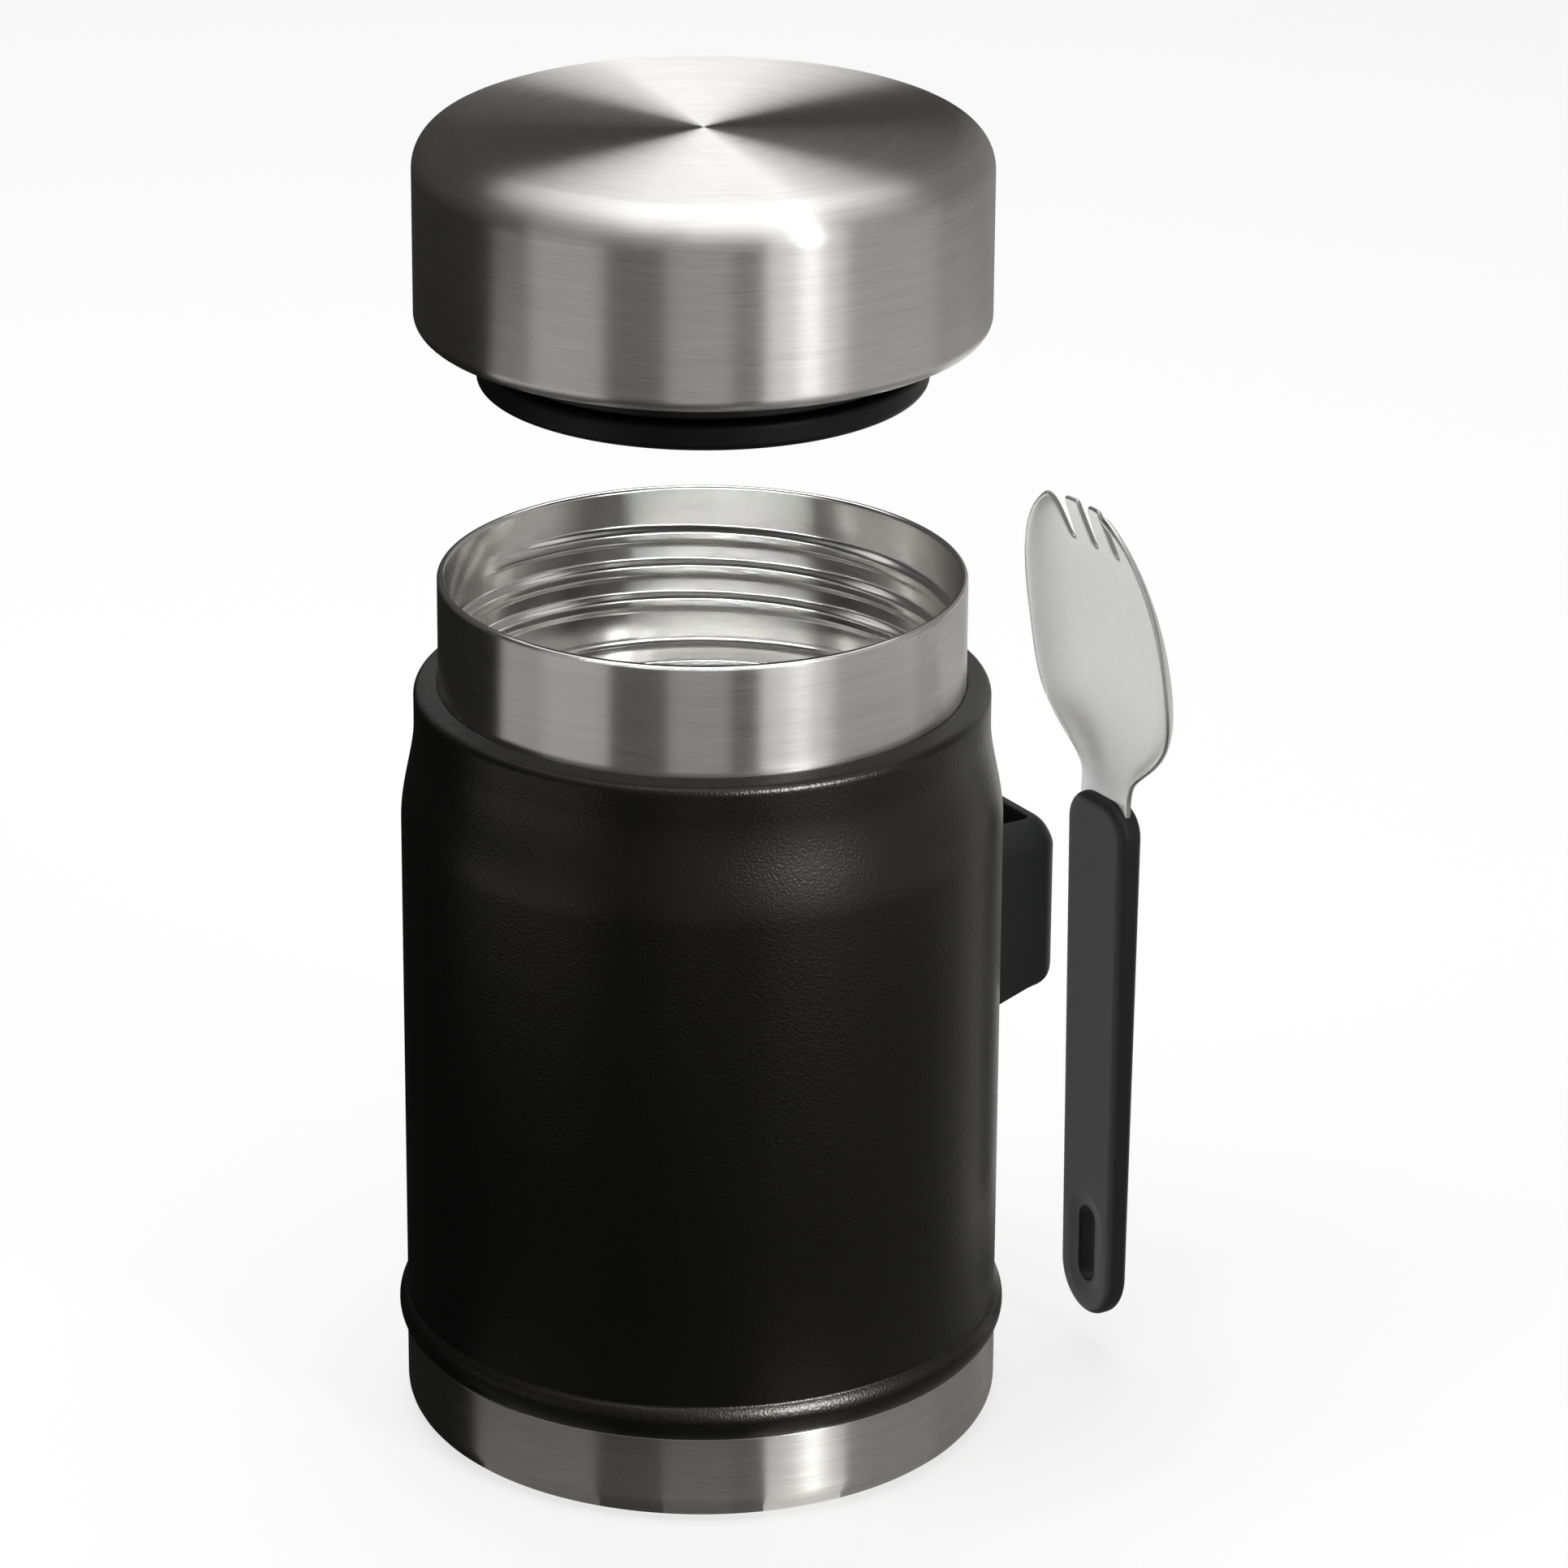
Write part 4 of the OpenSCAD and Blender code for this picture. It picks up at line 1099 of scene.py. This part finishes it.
def sweep_card(name, start, end, base, body, neck_tone, lid, far_tone, reach=CARD_OUT):
    """The card that the camera sees mirrored in the jar's wall between two angles round the jar, in
    degrees from the camera's side. From each point of the wall it runs out the way that the camera's view
    is turned back there, which is twice the angle, or straight back behind the jar, and it curves up as a
    quarter of an ellipse. Its tones are those that the base, the body, the neck, the lid and the lid's
    shoulder mirror, and they change with the distance from the axis, at TONE_PLACES, in metres. reach is
    how far out the card ends."""
    wall = np.radians(np.linspace(start, end, max(3, int((end - start) / CARD_STEP))))
    heading = CAMERA_SIDE + np.where(np.cos(wall) > 0, 2 * wall, math.pi)
    wall = wall + CAMERA_SIDE
    rise = np.linspace(0, math.asin(reach / CARD_OUT), CARD_ROWS)[:, None]
    out = CARD_OUT * np.sin(rise)
    height = CARD_FOOT + CARD_TOP * (1 - np.cos(rise))
    points = np.stack([CARD_NEAR * np.cos(wall) + out * np.cos(heading),
                       CARD_NEAR * np.sin(wall) + out * np.sin(heading),
                       np.broadcast_to(height, (CARD_ROWS, len(wall)))], axis=-1)
    points = np.concatenate([points[:1] * (CARD_UNDER / CARD_NEAR, CARD_UNDER / CARD_NEAR, 1), points])
    faces = grid_faces(*points.shape[:2]).reshape(-1, 4)
    card = new_piece(name, points.reshape(-1, 3), faces.tolist(), smooth=False)
    material = bpy.data.materials.new(name)
    tree = bare_tree(material)
    level = node(tree, "VectorMath", node(tree, "TexCoord").outputs["Object"], (1, 1, 0),
                 settings={"operation": "MULTIPLY"})
    far = node(tree, "VectorMath", level.outputs[0], settings={"operation": "LENGTH"})
    ramp = node(tree, "ValToRGB", far.outputs["Value"])
    stops = ramp.color_ramp.elements
    for place, tone in zip(TONE_PLACES, (base, body, body, neck_tone, neck_tone, lid, far_tone)):
        stop = stops.new(place)
        stop.color = (*[tone * part for part in CARD_TINT], 1)
    stops.remove(stops[-1])
    stops.remove(stops[0])
    paper = node(tree, "Emission", ramp.outputs[0], 1.0)
    node(tree, "OutputMaterial", paper.outputs[0])
    card.data.materials.append(material)
    for ray in ("camera", "diffuse", "shadow", "transmission"):
        setattr(card, "visible_" + ray, False)


sweep_card("card_back", 86, 311, 0.012, 0.012, 0.012, 0.015, 0.08)
sweep_card("card_left_edge", -49, -36, 0.19, 0.02, 1.85, 0.03, 0.09)
sweep_card("card_left", -36, -20.5, 0.175, 0.035, 1.85, 0.40, 0.28)
sweep_card("card_left_gap", -20.5, -7.5, 0.065, 0.02, 0.12, 0.14, 0.25)
sweep_card("card_front", -7.5, 6, 0.145, 0.03, 1.1, 0.36, 0.34)
sweep_card("card_front_gap", 6, 12.5, 0.12, 0.03, 0.08, 0.19, 0.36)
sweep_card("card_key", 12.5, 29, 0.85, 0.06, 4.4, 1.0, 1.0, reach=0.2)
sweep_card("card_right", 29, 52.5, 0.29, 0.18, 1.1, 0.48, 0.41)
sweep_card("card_right_back", 52.5, 65, 0.24, 0.28, 0.85, 0.35, 0.26)
sweep_card("card_right_limb", 65, 86, 0.24, 1.0, 1.0, 0.33, 0.26)

# ---- Lamps ----
# A large softbox hangs over the jar, a tall one stands to the right of the camera, and a fill to the left.
# The others are flagged, so that each reaches one piece or two: the cap, the base cup, the vessel and its
# floor, the spork or the shell. The shell's small lamp gives gloss only.


def softbox(name, side, distance, height, width, length, radiance, aim=(0, 0, 0.1), only=(), shade=()):
    """A rectangular lamp at an angle in degrees from the camera's side, aimed at a point by the jar. Its
    power is pi times its area times its radiance. With only, it lights those pieces alone, and they shade
    it, or the pieces in shade do."""
    data = bpy.data.lights.new(name, "AREA")
    data.shape = "RECTANGLE"
    data.size = width
    data.size_y = length
    data.energy = math.pi * width * length * radiance
    lamp = bpy.data.objects.new(name, data)
    angle = CAMERA_SIDE + math.radians(side)
    place = Vector((distance * math.cos(angle), distance * math.sin(angle), height))
    lamp.location = place
    lamp.rotation_euler = (Vector(aim) - place).to_track_quat("-Z", "Y").to_euler()
    scene.collection.objects.link(lamp)
    lamp.visible_camera = False
    if only:
        data.cycles.use_multiple_importance_sampling = False
        lit = bpy.data.collections.new(name + "_lit")
        shading = bpy.data.collections.new(name + "_shading")
        for piece in only:
            lit.objects.link(piece)
        for piece in shade or only:
            shading.objects.link(piece)
        lamp.light_linking.receiver_collection = lit
        lamp.light_linking.blocker_collection = shading
    return lamp


softbox("overhead", 180, 0.12, 1.1, 0.82, 1.5, 1.85)
softbox("key", 41, 0.95, 0.5, 0.15, 0.9, 3.9)
softbox("shoulder_light", 14, 1.0, 1.1, 0.8, 0.35, 1.3, (0, 0, 0.18), (cap,))
softbox("foot_key", 41, 0.95, 0.19, 0.1, 0.35, 22.0, (0, 0, 0.01), (cup,))
fill = softbox("fill", -70, 1.1, 0.8, 0.8, 0.8, 2.0)
fill.visible_glossy = False
softbox("mouth_low_light", -8, 0.9, -0.1, 1.6, 0.3, 1.15, (0, 0, 0.12), (vessel,), (vessel_floor,))
softbox("mouth_light", -10, 0.8, 0.75, 1.6, 0.4, 3.8, only=(vessel, vessel_floor))
softbox("spork_light", -122, 0.6, -0.13, 0.9, 0.9, 0.95, (0.06, -0.02, 0.1), only=(blade, grip))
softbox("spork_front_light", -50, 0.6, -0.13, 0.8, 0.9, 0.85, (0.06, -0.02, 0.1), only=(blade, grip))
shell_light = softbox("shell_light", 40, 0.95, 0.62, 0.3, 0.3, 112.0, only=(shell,))
shell_light.visible_diffuse = False
softbox("ledge_light", 180, 1.2, 0.6, 2.4, 0.5, 0.5, only=(shell,))

# ---- Camera ----
# Its place and aim are fixed; the focal length is given for a picture of 1932 by 1932 pixels.
# It looks down on the jar by 22 degrees.
PICTURE = 1932
FOCAL_PIXELS = 8500
SENSOR = 36.0
CAMERA_PLACE = (-0.4992, -0.7989, 0.4776)
CAMERA_TURN = math.radians(-32.731)
CAMERA_DOWN = math.radians(21.89)
CAMERA_ROLL = math.radians(0.39)
view = bpy.data.cameras.new("camera")
view.sensor_width = SENSOR
view.lens = FOCAL_PIXELS / PICTURE * SENSOR
camera = bpy.data.objects.new("camera", view)
camera.location = CAMERA_PLACE
aim = Euler((math.pi / 2 - CAMERA_DOWN, 0, CAMERA_TURN)).to_matrix()
camera.rotation_euler = (aim @ Matrix.Rotation(CAMERA_ROLL, 3, "Z")).to_euler()
scene.collection.objects.link(camera)
scene.camera = camera
scene.view_settings.view_transform = "Standard"
